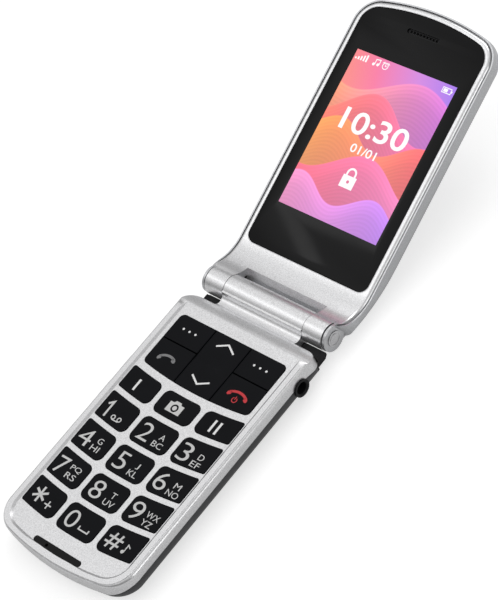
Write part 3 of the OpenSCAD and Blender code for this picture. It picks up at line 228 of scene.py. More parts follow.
def satin(name, color, rough, fine_mm=0.12, depth=0.000008, coat=0.0, metallic=0.0, vary=0.1,
          shine=0.5):
    """Moulded or lightly sprayed surface with a fine texture; shine is its specular level."""
    m = Shader(name)
    fine = m.noise(m.place(fine_mm), detail=2.0)
    broad = m.noise(m.place(9.0), detail=3.0)
    p = m.paint(Metallic=metallic, Coat_Weight=coat, Coat_Roughness=0.08, Specular_IOR_Level=shine)
    dark, light = shade(color, 1 - vary), shade(color, 1 + vary)
    m.put(p, "Base Color", m.ramp(broad, (0.35, dark), (0.65, light)))
    m.put(p, "Roughness", m.math("ADD", m.math("MULTIPLY", broad, 0.12), rough - 0.06))
    m.put(p, "Normal", m.bump(fine, 0.25, depth))
    return m.block


def turned_metal(name, color, rough=0.28):
    """Steel or plated metal with faint working marks."""
    m = Shader(name)
    marks = m.noise(m.place(0.35), detail=4.0, rough=0.65)
    p = m.paint(Metallic=1.0)
    m.put(p, "Base Color", m.ramp(marks, (0.3, shade(color, 0.85)), (0.7, color)))
    m.put(p, "Roughness", m.math("ADD", m.math("MULTIPLY", marks, 0.2), rough - 0.1))
    m.put(p, "Normal", m.bump(marks, 0.08, 0.00001))
    return m.block


def lid_plane(m):
    """Object coordinates turned into the lid's own x, v, n in millimetres."""
    tex = m.node("ShaderNodeTexCoord")
    shift = m.node("ShaderNodeVectorMath", operation="SUBTRACT", _0=tex.outputs["Object"],
                   _1=HINGE * MM)
    turn = m.node("ShaderNodeMapping", Vector=shift.outputs[0])
    turn.inputs["Rotation"].default_value = (-REST_TILT, 0, 0)
    turn.inputs["Scale"].default_value = (1000,) * 3
    return turn.outputs[0]


# Ridges of the display picture, far to near: height over the window's foot in mm, swing,
# wavelength, phase, colour at the left and at the right
RIDGES = (
    (42.0, 4.0, 46.0, 0.4, (0.95, 0.30, 0.16), (0.62, 0.16, 0.66)),
    (34.0, 5.0, 38.0, 2.2, (0.90, 0.16, 0.10), (0.80, 0.12, 0.40)),
    (26.0, 3.5, 30.0, 4.0, (0.92, 0.30, 0.05), (0.86, 0.10, 0.12)),
    (17.0, 4.5, 41.0, 1.1, (0.86, 0.08, 0.16), (0.78, 0.16, 0.44)),
    (8.0, 3.0, 27.0, 5.2, (0.80, 0.22, 0.50), (0.46, 0.16, 0.80)),
)
RIDGE_SOFT = 0.25  # half width of a ridge's edge, in mm
LINE_TURN = 5.2  # fine lines along a ridge: radians per mm
LINE_DEPTH = 0.045


def display_picture(name):
    """Lit picture of soft ridges, one behind the other, under a sky from rose to violet."""
    m = Shader(name)
    at = m.node("ShaderNodeSeparateXYZ", Vector=lid_plane(m))
    x = at.outputs[0]
    up = m.math("SUBTRACT", at.outputs[1], WINDOW["near"])
    across = m.math("ADD", m.math("MULTIPLY", x, 0.5 / WINDOW["half"]), 0.5, clamp=True)
    slant = m.math("ADD", m.math("MULTIPLY", across, 0.65), m.math("MULTIPLY", up, 0.0062))
    sky = m.ramp(slant, (0.1, (0.93, 0.28, 0.10)), (0.45, (0.90, 0.17, 0.34)),
                 (0.72, (0.62, 0.22, 0.72)), (1.0, (0.30, 0.16, 0.86)))
    for level, swing, length, phase, left, right in RIDGES:
        wave = m.math("SINE", m.math("ADD", m.math("MULTIPLY", x, 2 * math.pi / length), phase))
        over = m.math("SUBTRACT", m.math("ADD", m.math("MULTIPLY", wave, swing), level), up)
        fall = m.ramp(m.math("MULTIPLY", over, 0.07), (0.0, (1.25, 1.2, 1.2)),
                      (0.35, (0.92, 0.92, 0.92)), (1.0, (0.75, 0.72, 0.75)))
        line = m.math("SINE", m.math("MULTIPLY", over, LINE_TURN))
        fall = m.node("ShaderNodeVectorMath", operation="SCALE", _0=fall,
                      Scale=m.math("ADD", m.math("MULTIPLY", line, LINE_DEPTH), 1.0)).outputs[0]
        lit = m.mix(1.0, m.mix(across, left, right), fall, "MULTIPLY")
        sky = m.mix(m.ease(over, -RIDGE_SOFT, RIDGE_SOFT), sky, lit)
    p = m.paint(Base_Color=(0.004, 0.004, 0.004), Roughness=0.06)
    m.put(p, "Emission Color", sky)
    p.inputs["Emission Strength"].default_value = 1.0
    return m.block


def lit_ink(name, color, strength):
    """A lit mark on the display."""
    m = Shader(name)
    soft = m.noise(m.place(0.6))
    p = m.paint(Base_Color=(0.02, 0.02, 0.02), Roughness=0.5)
    m.put(p, "Emission Color", m.ramp(soft, (0.3, shade(color, 0.97)), (0.7, color)))
    p.inputs["Emission Strength"].default_value = strength
    return m.block


MATERIALS = {}


def material(key):
    """The named finish, made once."""
    if key in MATERIALS:
        return MATERIALS[key]
    f = bpy.context.scene.phone_finish
    make = {
        "silver": lambda: metallic_paint("silver_paint", f.silver[:], f.grain),
        "shell": lambda: metallic_paint("shell_paint", f.shell[:], f.grain, 0.8, 0.36),
        "cover": lambda: satin("cover_paint", f.cover[:], 0.42, metallic=0.25),
        # black plastic parts, and the painted shade in the casings' hinge gaps
        "black": lambda: satin("black_plastic_and_gap_shade", (0.010, 0.010, 0.011), 0.5, shine=0.2),
        "rubber": lambda: satin("black_rubber", (0.008,) * 3, 0.55, fine_mm=0.2, shine=0.15),
        "key": lambda: satin("key_cap", f.key[:], 0.36, fine_mm=0.15, depth=0.000004, shine=0.07),
        "legend": lambda: satin("legend_print", f.legend[:], 0.5, fine_mm=0.1, vary=0.04),
        "arrow": lambda: satin("arrow_print", (0.85, 0.85, 0.85), 0.5, fine_mm=0.1, vary=0.02),
        "call": lambda: satin("call_print", (0.20, 0.20, 0.205), 0.5, fine_mm=0.1, vary=0.04),
        "end": lambda: satin("end_print", (0.62, 0.022, 0.03), 0.5, fine_mm=0.1, vary=0.05),
        "border": lambda: satin("lens_border", (0.002, 0.002, 0.0024), 0.10, fine_mm=3.0,
                                depth=0.000001, shine=0.13),
        "picture": lambda: display_picture("display_picture"),
        "mark": lambda: lit_ink("display_mark", (1, 1, 1), 1.0),
        "grille": lambda: satin("grille_mesh", (0.014, 0.014, 0.015), 0.5, shine=0.2),
        # near black: painted shade for the holes in the earpiece grille
        "grille_hole": lambda: satin("grille_hole", (0.004, 0.004, 0.004), 0.7, shine=0.1),
        "steel": lambda: turned_metal("steel", (0.62, 0.62, 0.63)),
        "trim": lambda: turned_metal("bright_trim", (0.66, 0.66, 0.67), 0.30),
        "dark_contact": lambda: turned_metal("dark_contact", (0.10, 0.10, 0.10), 0.4),
        "gold": lambda: turned_metal("gold_contact", (0.80, 0.55, 0.22)),
        "board": lambda: satin("circuit_board", (0.02, 0.12, 0.05), 0.45, coat=0.3),
        "cell": lambda: satin("battery_wrap", (0.10, 0.14, 0.20), 0.5),
        "mat": lambda: satin("key_mat", (0.75, 0.76, 0.77), 0.6),
        "film": lambda: satin("amber_film", (0.55, 0.28, 0.06), 0.4),
        "optic": lambda: satin("camera_glass", (0.01, 0.01, 0.016), 0.06, fine_mm=4.0,
                               depth=0.000001, coat=0.5),
    }[key]
    MATERIALS[key] = make()
    return MATERIALS[key]


# The finish of each of the record's slots
FINISHES = {
    "silver_paint": "silver", "lid_paint": "shell", "dark_cover": "cover", "black_plastic": "black",
    "black_rubber": "rubber", "key_black": "key", "lens_black": "border", "display_glass": "border",
    "grille_dark": "grille", "battery_can": "cell", "gold_contact": "gold",
    "contact_dark": "dark_contact", "board_green": "board", "steel": "steel", "mat_rubber": "mat",
    "speaker_black": "black", "flex_amber": "film", "camera_glass": "optic", "trim_silver": "trim",
}


# ---------- mesh helpers ----------

SHARP = math.radians(40)  # edges over this angle stay sharp
SHARP_CASING = math.radians(32)


def piece(name, mesh, body, key, *replaced):
    """Links a finished mesh as a piece on a body; key is its finish, or a list with its main one
    first."""
    obj = bpy.data.objects.new(name, mesh)
    bpy.context.scene.collection.objects.link(obj)
    keys = [key] if isinstance(key, str) else key
    for k in keys:
        mesh.materials.append(material(k))
    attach(obj, body)
    if replaced:
        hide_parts(*replaced)
    return obj


def mesh_from(name, points, faces):
    mesh = bpy.data.meshes.new(name)
    mesh.from_pydata([tuple(p) for p in points], [], faces)
    mesh.validate()
    mesh.shade_smooth()
    return mesh


def rings_mesh(name, rings, place, middle=None, closed=False):
    """Closed shell through rings of (x, s, z) points of equal count, capped at both ends; middle is
    the top cap's middle point, and closed joins the last ring to the first instead."""
    n = len(rings[0])
    points = [place(*p) for ring in rings for p in ring]
    faces = []
    for k in range(len(rings) - (0 if closed else 1)):
        for i in range(n):
            j = (i + 1) % n
            q = (k + 1) % len(rings)
            faces.append((k * n + i, k * n + j, q * n + j, q * n + i))
    if not closed:
        top = (len(rings) - 1) * n
        faces.append(tuple(reversed(range(n))))
        if middle is None:
            faces.append(tuple(range(top, top + n)))
        else:
            points.append(place(*middle))
            faces += [(top + i, top + (i + 1) % n, len(points) - 1) for i in range(n)]
    mesh = mesh_from(name, points, faces)
    bm = bmesh.new()
    bm.from_mesh(mesh)
    bmesh.ops.recalc_face_normals(bm, faces=bm.faces)
    bm.to_mesh(mesh)
    bm.free()
    mesh.set_sharp_from_angle(angle=SHARP)
    return mesh


def surface_of(mesh):
    """The mesh as a surface for prints to drop on."""
    return BVHTree.FromPolygons([v.co for v in mesh.vertices], [p.vertices for p in mesh.polygons])


def dressed_copy(node):
    """A CAD node's shape as one merged mesh with smooth rounds; its stored normals are dropped."""
    mesh = frame["nodes"][node].data.copy()
    mesh.name = "dressed_" + node
    bm = bmesh.new()
    bm.from_mesh(mesh)
    bmesh.ops.remove_doubles(bm, verts=bm.verts, dist=2e-6)
    bmesh.ops.dissolve_limit(bm, angle_limit=math.radians(0.4), verts=bm.verts, edges=bm.edges)
    bm.to_mesh(mesh)
    bm.free()
    mesh.materials.clear()
    if "custom_normal" in mesh.attributes:
        mesh.attributes.remove(mesh.attributes["custom_normal"])
    mesh.shade_smooth()
    mesh.set_sharp_from_angle(angle=SHARP_CASING)
    return mesh


def even(obj):
    """Shades flat faces flat and lets the rounds between them carry the change of slope."""
    w = obj.modifiers.new("normals", "WEIGHTED_NORMAL")
    w.mode = "FACE_AREA"
    w.weight = 90
    w.keep_sharp = True


# ---------- outlines ----------

def corner_arc(mid, start, end, r, n):
    """Points of a round of radius r from the direction start to the direction end."""
    a0 = math.atan2(start[1], start[0])
    a1 = math.atan2(end[1], end[0])
    turn = (a1 - a0 + math.pi) % (2 * math.pi) - math.pi
    return [(mid[0] + r * math.cos(a0 + turn * k / n), mid[1] + r * math.sin(a0 + turn * k / n))
            for k in range(n + 1)]


def key_outline(x0, x1, near, far, radii, inset=0.0, n_edge=14, n_side=6, n_corner=6):
    """Outline (x, s) of a key between its near and far edges, each an arc of ROW_ARCH whose middle
    lies at s, or straight where it is given as ("line", s). Radii: near left, near right, far right,
    far left."""

    def edge(spec, x, sign):
        if isinstance(spec, tuple):
            return spec[1] + sign * inset
        return spec - ROW_ARCH + math.sqrt((ROW_ARCH + sign * inset) ** 2 - x * x)

    def centre(spec, cx, sign, r):
        if isinstance(spec, tuple):
            return (cx, spec[1] + sign * r), (0.0, -sign)
        cy = spec - ROW_ARCH + math.sqrt((ROW_ARCH + sign * r) ** 2 - cx * cx)
        away = Vector((cx, cy - spec + ROW_ARCH)).normalized() * -sign
        return (cx, cy), (away.x, away.y)

    corners = []
    for spec, side, sign, r in ((near, -1, 1, radii[0]), (near, 1, 1, radii[1]),
                                (far, 1, -1, radii[2]), (far, -1, -1, radii[3])):
        cx = x0 + r if side < 0 else x1 - r
        mid, out = centre(spec, cx, sign, r)
        rr = max(r - inset, 0.02)
        arc = corner_arc(mid, (side, 0.0), out, rr, n_corner)
        corners.append(arc if (side < 0) == (sign > 0) else arc[::-1])

    def run(a, b, spec, sign, n):
        """The points between two corners: along the edge, or straight where there is none."""
        between = [[p + (q - p) * k / n for p, q in zip(a, b)] for k in range(1, n)]
        return [(x, y if spec is None else edge(spec, x, sign)) for x, y in between]

    nl, nr, fr, fl = corners
    return (nl + run(nl[-1], nr[0], near, 1, n_edge) + nr + run(nr[-1], fr[0], None, 0, n_side)
            + fr + run(fr[-1], fl[0], far, -1, n_edge) + fl + run(fl[-1], nl[0], None, 0, n_side))


def plan_outline(half, corner, arch, reach, near, near_corner, inset=0.0, n_arch=48,
                 n_corner=10):
    """Outline (x, v) with an arched far end and a straight near end, as the casings have it."""
    mid = reach - arch
    cs = mid + math.sqrt((arch - corner) ** 2 - (half - corner) ** 2)
    a = math.asin((half - corner) / (arch - corner))
    r, rn = corner - inset, near_corner - inset
    ring = []
    for side in (-1, 1):
        mid_near = side * (half - near_corner), near + near_corner
        out = corner_arc(mid_near, (side, 0), (0, -1), rn, n_corner)
        ring += out if side < 0 else out[::-1]
    far = corner_arc((half - corner, cs), (1, 0), (math.sin(a), math.cos(a)), r, n_corner)
    top = [((arch - inset) * math.sin(t), mid + (arch - inset) * math.cos(t))
           for t in (a - 2 * a * k / n_arch for k in range(1, n_arch))]
    return ring + far + top + [(-x, y) for x, y in far[::-1]]


def slot_outline(mid, length, width, n=10):
    """Round-ended slot across the lid."""
    r, q = width / 2, (length - width) / 2
    right = [(mid[0] + q + r * math.cos(t), mid[1] + r * math.sin(t))
             for t in (-math.pi / 2 + math.pi * k / n for k in range(n + 1))]
    return right + [(2 * mid[0] - x, 2 * mid[1] - y) for x, y in right]


# ---------- printing ----------

def drawn(*shapes):
    """Joins flat shapes, each (points, faces) in (x, y)."""
    points, faces = [], []
    for pts, fcs in shapes:
        base = len(points)
        points += pts
        faces += [tuple(base + i for i in f) for f in fcs]
    return points, faces


def stroke(path, width, closed=False):
    """Ribbon of the given width along a path, mitred at its bends and square at its ends."""
    n = len(path)
    left, right = [], []
    for i, p in enumerate(path):
        a = Vector(path[i - 1] if (i or closed) else p)
        b = Vector(path[(i + 1) % n] if (i < n - 1 or closed) else p)
        p = Vector(p)
        d0 = (p - a).normalized() if (p - a).length > 1e-9 else (b - p).normalized()
        d1 = (b - p).normalized() if (b - p).length > 1e-9 else d0
        bis = (d0 + d1).normalized()
        side = Vector((-bis.y, bis.x)) * (width / 2 / max(0.35, bis.dot(d0)))
        left.append(tuple(p + side))
        right.append(tuple(p - side))
    faces = [(i, (i + 1) % n, n + (i + 1) % n, n + i) for i in range(n if closed else n - 1)]
    return left + right, faces


def disc(mid, r, n=24):
    return [(mid[0] + r * math.cos(2 * math.pi * k / n), mid[1] + r * math.sin(2 * math.pi * k / n))
            for k in range(n)], [tuple(range(n))]


def pierced(outline, hole):
    """A flat shape with one hole; both outlines run the same way round."""
    rings = [[Vector((*q, 0)) for q in ring] for ring in (outline, hole[::-1])]
    return [(v.x, v.y) for ring in rings for v in ring], [tuple(t) for t in tessellate_polygon(rings)]


def arc_path(mid, r, start, end, n=16):
    """Points of an arc, in degrees."""
    turns = [math.radians(start + (end - start) * k / n) for k in range(n + 1)]
    return [(mid[0] + r * math.cos(a), mid[1] + r * math.sin(a)) for a in turns]


def handset(mid, half, tilt):
    """Telephone handset from its side: a shallow bow with a cup at each end; tilt in degrees."""
    c, k = math.cos(math.radians(tilt)), math.sin(math.radians(tilt))

    def turn(shape):
        return [(mid[0] + x * c - y * k, mid[1] + x * k + y * c) for x, y in shape[0]], shape[1]

    bend, grip, rise = 1.45, 0.86, 0.35     # the bow's radius and half length over half, its height
    r = half * bend
    a = math.degrees(math.asin(grip / bend))
    bow = stroke(arc_path((0, -r + rise), r, 90 - a, 90 + a, 16), 0.78)
    y = -r + rise + r * math.cos(math.radians(a))
    cup = ((-1.25, 0.55), (0, 0.05), (0.05, -0.75), (-0.45, -1.0), (-1.3, -0.5))
    cups = [([(side * (half + dx), y + dy) for dx, dy in cup], [(0, 1, 2, 3, 4)])
            for side in (-1, 1)]
    return [turn(shape) for shape in (bow, *cups)]


def lettering(text, x0, x1, y0, y1, weight=0.012):
    """Outline of a text in the built-in font, set to fill the given box; y is up."""
    data = bpy.data.curves.new("letters", "FONT")
    data.body = text
    data.offset = weight
    data.resolution_u = 5
    obj = bpy.data.objects.new("letters", data)
    bpy.context.scene.collection.objects.link(obj)
    bpy.context.view_layer.update()
    mesh = obj.to_mesh()
    pts = [(v.co.x, v.co.y) for v in mesh.vertices]
    faces = [tuple(f.vertices) for f in mesh.polygons]
    obj.to_mesh_clear()
    bpy.data.objects.remove(obj)
    bpy.data.curves.remove(data)
    lo = [min(p[k] for p in pts) for k in (0, 1)]
    hi = [max(p[k] for p in pts) for k in (0, 1)]
    kx, ky = (x1 - x0) / (hi[0] - lo[0]), (y1 - y0) / (hi[1] - lo[1])
    left = (x0 + x1) / 2 - kx * (hi[0] - lo[0]) / 2
    return [(left + kx * (x - lo[0]), y0 + ky * (y - lo[1])) for x, y in pts], faces


def printed(name, shape, place, surface, out, body, key, lift=None):
    """Thin print: the flat shape is cut into short spans, dropped on the surface along -out, where
    there is one, and given a thickness in metres. place turns (x, y) into a point above it."""
    lift = bpy.context.scene.phone_keys.print_height if lift is None else lift
    bm = bmesh.new()
    verts = [bm.verts.new((x, y, 0)) for x, y in shape[0]]
    for f in shape[1]:
        if len(set(f)) > 2:
            bm.faces.new([verts[i] for i in f])
    bmesh.ops.remove_doubles(bm, verts=bm.verts, dist=0.004)
    bmesh.ops.recalc_face_normals(bm, faces=bm.faces)
    xs = [v.co.x for v in bm.verts]
    ys = [v.co.y for v in bm.verts]
    for axis, lo, hi in ((0, min(xs), max(xs)), (1, min(ys), max(ys))):
        for k in range(1, int((hi - lo) / SPAN) + 1):
            co = [0, 0, 0]
            no = [0, 0, 0]
            co[axis], no[axis] = lo + k * SPAN, 1
            bmesh.ops.bisect_plane(bm, geom=bm.verts[:] + bm.edges[:] + bm.faces[:], plane_co=co,
                                   plane_no=no)
    for v in bm.verts:
        start = place(v.co.x, v.co.y)
        hit = surface.ray_cast(start, -out)[0] if surface else start
        v.co = (hit or start) + out * lift
    top = bm.faces[:]
    bmesh.ops.recalc_face_normals(bm, faces=top)
    flip = [f for f in top if f.normal.dot(out) < 0]
    bmesh.ops.reverse_faces(bm, faces=flip)
    made = bmesh.ops.extrude_face_region(bm, geom=top)
    for v in (g for g in made["geom"] if isinstance(g, bmesh.types.BMVert)):
        v.co += out * lift
    for v in bm.verts:
        v.co -= out * lift
    bmesh.ops.recalc_face_normals(bm, faces=bm.faces)
    mesh = bpy.data.meshes.new(name)
    bm.to_mesh(mesh)
    bm.free()
    return piece(name, mesh, body, key)


# ---------- operators ----------

class PHONE_OT_casings(bpy.types.Operator):
    """Casings, hinge and small outer parts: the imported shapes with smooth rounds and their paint"""
    bl_idname = "phone.casings"
    bl_label = "Casings"

    SHAPES = {
        "front_cover": ("base", "silver"), "battery_cover": ("base", "cover"),
        "lid_frame": ("lid", "silver"), "lid_shell": ("lid", "shell"),
        "jack_bezel": ("base", "black"), "mouth_bumper": ("base", "rubber"),
        "hinge_caps": ("lid", "trim"), "camera_ring": ("lid", "trim"),
        "volume_rocker": ("volume_rocker", "silver"),
    }

    def execute(self, context):
        slots = {p["node"]: p["material_slot"] for p in frame["record"]["subparts"]}
        for node, obj in frame["nodes"].items():
            obj.data.materials.clear()
            obj.data.materials.append(material(FINISHES[slots[node]]))
        for node, (body, key) in self.SHAPES.items():
            mesh = dressed_copy(node)
            # the second slot, black, is painted shade for the hinge gaps
            obj = piece("dressed_" + node, mesh, body, [key, "black"], node)
            self.paint_gap_shade(mesh, node)
            even(obj)
        return {"FINISHED"}

    def paint_gap_shade(self, mesh, node):
        """Painted shade: the faces at the barrel's ends, in the scoop of the lid's frame round it and
        on the battery cover's ledges get the black slot, standing for the shade that falls in these
        gaps."""
        for face in mesh.polygons:
            ends, reach = zip(*[self.round_axis(mesh.vertices[i].co) for i in face.vertices])
            square = abs(face.normal.x) > 0.95 and max(ends) < BARREL["half"] + 0.2
            end = square and max(reach) < BARREL["end"]
            scoop = node == "lid_frame" and all(abs(r - BARREL["scoop"]) < 0.05 for r in reach)
            beside = min(ends) > BARREL["half"] and max(reach) < BARREL["ledge"]
            if end or scoop or (beside and node == "battery_cover"):
                # black slot: painted shade in the gap
                face.material_index = 1

    def round_axis(self, co):
        """Distance from the middle along the hinge axis and distance from the axis, in mm."""
        p = co / MM - HINGE
        return abs(p.x), math.hypot(p.y, p.z)


class PHONE_OT_lens(bpy.types.Operator):
    """Lens with its eased edge and black border, and the lit picture flush in its window"""
    bl_idname = "phone.lens"
    bl_label = "Lens and picture"

    def execute(self, context):
        def plan(inset):
            return plan_outline(LENS["half"], LENS["corner"], LENS["arch"], LENS["far"], LENS["near"],
                                LENS["near_corner"], inset)

        half, near, far = WINDOW["half"], WINDOW["near"], WINDOW["far"]
        window = [(-half, near), (half, near), (half, far), (-half, far)]
        slot = slot_outline((0, EAR_SLOT["v"]), EAR_SLOT["l"], EAR_SLOT["w"])
        low, top, edge = LENS["low"], LENS["top"], LENS["edge"]
        outer = [(plan(0), low), (plan(0), top - edge)]
        for k in (1, 2, 3):
            t = math.radians(30 * k)
            outer.append((plan(edge * (1 - math.cos(t))), top - edge + edge * math.sin(t)))
        bm = bmesh.new()

        def loop(ring, n):
            return [bm.verts.new(lid_mm(x, v, n)) for x, v in ring]

        def wall(a, b):
            for i in range(len(a)):
                j = (i + 1) % len(a)
                bm.faces.new((a[i], a[j], b[j], b[i]))

        loops = [loop(ring, n) for ring, n in outer]
        for a, b in zip(loops, loops[1:]):
            wall(a, b)
        holes = [(loop(h, low), loop(h, top)) for h in (window, slot)]
        for a, b in holes:
            wall(a, b)
        for rim, level in ((loops[0], 0), (loops[-1], 1)):
            rings = [rim] + [h[level] for h in holes]
            flat = [v for ring in rings for v in ring]
            for tri in tessellate_polygon([[v.co for v in ring] for ring in rings]):
                bm.faces.new([flat[i] for i in tri])
        bmesh.ops.recalc_face_normals(bm, faces=bm.faces)
        mesh = bpy.data.meshes.new("lens_plate")
        bm.to_mesh(mesh)
        bm.free()
        mesh.shade_smooth()
        mesh.set_sharp_from_angle(angle=SHARP)
        piece("lens_plate", mesh, "lid", "border", "display_lens")
        r, n = BEAD["r"], 12
        bead = []
        for t in (2 * math.pi * k / n for k in range(n)):
            level = top + BEAD["up"] + r * math.sin(t)
            bead.append([(x, v, level) for x, v in plan(-BEAD["out"] - r + r * math.cos(t))])
        piece("lens_rim", rings_mesh("lens_rim", bead, lid_mm, closed=True), "lid", "silver")

        pane = [[(x, v, level) for x, v in window] for level in (low, top)]
        piece("picture_pane", rings_mesh("picture_pane", pane, lid_mm), "lid", "picture")
        self.marks()
        return {"FINISHED"}

    def marks(self):
        """Lit time, date, padlock and status row on the picture; all plain and generic."""
        def put(name, shape):
            printed(name, shape, lambda x, v: lid_mm(x, v, LENS["top"]), None, LID_OUT, "lid", "mark",
                    MARK_LIFT * MM)

        put("clock_digits", lettering("10:30", -12, 12, 54.3, 61.0, weight=0.014))
        put("date_digits", lettering("01/01", -4.6, 4.6, 49.3, 51.9))
        box = [(-2.4, 39.2), (2.4, 39.2), (2.4, 42.9), (-2.4, 42.9)]
        body = pierced(box, disc((0, 41.1), 0.5, 12)[0])
        bow = stroke([(-1.45, 42.9)] + arc_path((0, 43.6), 1.45, 180, 0) + [(1.45, 42.9)], 0.62)
        put("padlock", drawn(body, bow))
        bars = [stroke([(-17.6 + 0.95 * k, 74.4), (-17.6 + 0.95 * k, 74.9 + 0.4 * k)], 0.55)
                for k in range(5)]
        note = drawn(disc((-11.0, 74.75), 0.45), disc((-9.5, 74.95), 0.45),
                     stroke([(-10.6, 74.8), (-10.6, 76.3), (-9.1, 76.5), (-9.1, 75.0)], 0.26))
        alarm = drawn(stroke(arc_path((-6.9, 75.35), 0.95, 0, 337.5, 15), 0.24, closed=True),
                      stroke([(-6.9, 76.0), (-6.9, 75.35), (-6.4, 75.35)], 0.22),
                      stroke([(-8.1, 76.0), (-7.5, 76.5)], 0.26),
                      stroke([(-6.3, 76.5), (-5.7, 76.0)], 0.26))
        outline = [(14.2, 74.6), (17.2, 74.6), (17.2, 76.1), (14.2, 76.1)]
        cell = drawn(stroke(outline, 0.24, closed=True),
                     stroke([(17.5, 75.05), (17.5, 75.65)], 0.3),
                     stroke([(14.6, 75.35), (16.0, 75.35)], 0.95))
        put("status_marks", drawn(*bars, note, alarm, cell))


class PHONE_OT_keys(bpy.types.Operator):
    """Key caps with a rounded edge and a low crown, each with its printed mark"""
    bl_idname = "phone.keys"
    bl_label = "Keys"

    NUMBERS = (("key_1", "key_2", "key_3"), ("key_4", "key_5", "key_6"),
               ("key_7", "key_8", "key_9"), ("key_star", "key_0", "key_hash"))

    def cap(self, name, x0, x1, near, far, radii, crease=None):
        """One key cap, returned as a surface; the crease is where a rocker's two halves meet."""
        keys = bpy.context.scene.phone_keys
        edge, crown = keys.edge / MM, keys.crown / MM
        top = DECK["key_top"]
        low, high = DECK["flange"]
        if crease:
            high -= DECK["rocker_room"]

        def ring(inset, z):
            return [(x, s, z) for x, s in key_outline(x0, x1, near, far, radii, inset)]

        wide = -DECK["flange_out"]
        rings = [ring(wide, low), ring(wide, high), ring(0, high), ring(0, top - crown - edge)]
        for k in range(1, 5):
            t = math.radians(22.5 * k)
            rings.append(ring(edge * (1 - math.cos(t)), top - crown - edge + edge * math.sin(t)))
        rim = rings[-1]
        mid = [sum(p[k] for p in rim) / len(rim) for k in (0, 1)]
        for k in (0.94, 0.86, 0.74, 0.6, 0.45, 0.3, 0.15):
            rings.append([(mid[0] + (x - mid[0]) * k, mid[1] + (s - mid[1]) * k, top - crown * k * k)
                          for x, s, z in rim])
        mesh = rings_mesh("cap_" + name, rings, base_mm, middle=(mid[0], mid[1], top))
        if crease:
            self.fold(mesh, crease)
        piece("cap_" + name, mesh, name, "key", name)
        return surface_of(mesh)

    def fold(self, mesh, s_mid):
        """Presses a shallow groove across a rocker."""
        middle = base_mm(0, s_mid, DECK["key_top"] - 0.2)
        for v in mesh.vertices:
            if v.co.z > middle.z:
                off = (v.co.y - middle.y) / (CREASE["width"] * MM)
                v.co.z -= CREASE["depth"] * MM * math.exp(-off ** 2)

    def mark(self, key, cap, shape, ink="legend"):
        """Prints a flat shape (x, -s) on a key."""
        self.count += 1
        printed("print_%s_%d" % (key.replace("key_", ""), self.count), shape,
                lambda x, y: base_mm(x, -y, ABOVE_KEYS), cap, UP, key, ink)

    def execute(self, context):
        caps = {}
        for row, names in enumerate(self.NUMBERS):
            for column, name in zip((-1, 0, 1), names):
                x0, x1, left, right = COLUMNS[column]
                caps[name] = self.cap(name, x0, x1, *ROWS[row], (left, right, right, left))
        for column, name in ((-1, "key_memory_one"), (0, "key_camera"), (1, "key_memory_two")):
            x0, x1, left, right = COLUMNS[column]
            caps[name] = self.cap(name, x0, x1, *ROWS["memory"], (left, right, right, left))
        p, q = PAD, PAD["inner_corner"]
        inner = p["rocker"] + p["gap"]
        split, near = p["split"], ("line", p["near"])
        for side, soft, call in ((-1, "key_soft_left", "key_call"), (1, "key_soft_right", "key_end")):
            x0, x1 = (-p["half"], -inner) if side < 0 else (inner, p["half"])
            a, b = (p["corner"], q) if side < 0 else (q, p["corner"])
            caps[soft] = self.cap(soft, x0, x1, near, ("line", split - p["gap"] / 2), (a, b, q, q))
            caps[call] = self.cap(call, x0, x1, ("line", split + p["gap"] / 2), p["far"],
                                  (q, q, b, a))
        caps["key_rocker"] = self.cap("key_rocker", -p["rocker"], p["rocker"], near, p["far"],
                                      (q, q, q, q), crease=(p["near"] + p["far"]) / 2)
        self.legends(caps)
        return {"FINISHED"}

    def legends(self, caps):
        """Digits and letters by the box that each fills, then the drawn signs."""
        self.count = 0

        def text(key, body, x0, x1, y0, y1, weight=0.0):
            self.mark(key, caps[key], lettering(body, x0, x1, y0, y1, weight))

        digits = {"2": (-4.9, -0.7, -53.2, -47.7), "5": (-4.8, -0.8, -63.6, -58.1),
                  "8": (-4.9, -0.7, -74.0, -68.4), "0": (-5.0, -0.8, -84.3, -78.9),
                  "4": (-20.0, -15.4, -62.7, -57.4), "7": (-19.9, -15.9, -73.0, -67.7),
                  "3": (10.0, 14.1, -52.8, -47.2), "6": (10.0, 14.2, -63.0, -57.5),
                  "9": (10.0, 14.2, -73.5, -67.9)}
        for d, box in digits.items():
            text("key_" + d, d, *box, -0.006)
        # upper and lower letters, where the lower start, their widths, shift of the upper
        letters = {"2": ("A", "BC", 1.2, 1.8, 3.7, 1.0), "5": ("J", "KL", 1.2, 1.0, 3.3, 1.2),
                   "8": ("T", "UV", 1.2, 1.7, 3.8, 1.0), "4": ("G", "HI", -14.2, 1.8, 3.0, 0.7),
                   "7": ("PQ", "RS", -14.8, 3.9, 3.7, 0.0), "3": ("D", "EF", 15.6, 1.8, 3.2, 1.0),
                   "6": ("M", "NO", 15.5, 2.2, 4.2, 1.0), "9": ("WX", "YZ", 15.4, 4.5, 3.7, 0.0)}
        tall, lift = 1.85, 2.55
        for d, (upper, lower, x, wide_up, wide_low, shift) in letters.items():
            foot = digits[d][2]
            text("key_" + d, upper, x + shift, x + shift + wide_up, foot + lift, foot + lift + tall)
            text("key_" + d, lower, x, x + wide_low, foot, foot + tall)

        def mark(key, *shapes, ink="legend"):
            self.mark(key, caps[key], drawn(*shapes), ink)

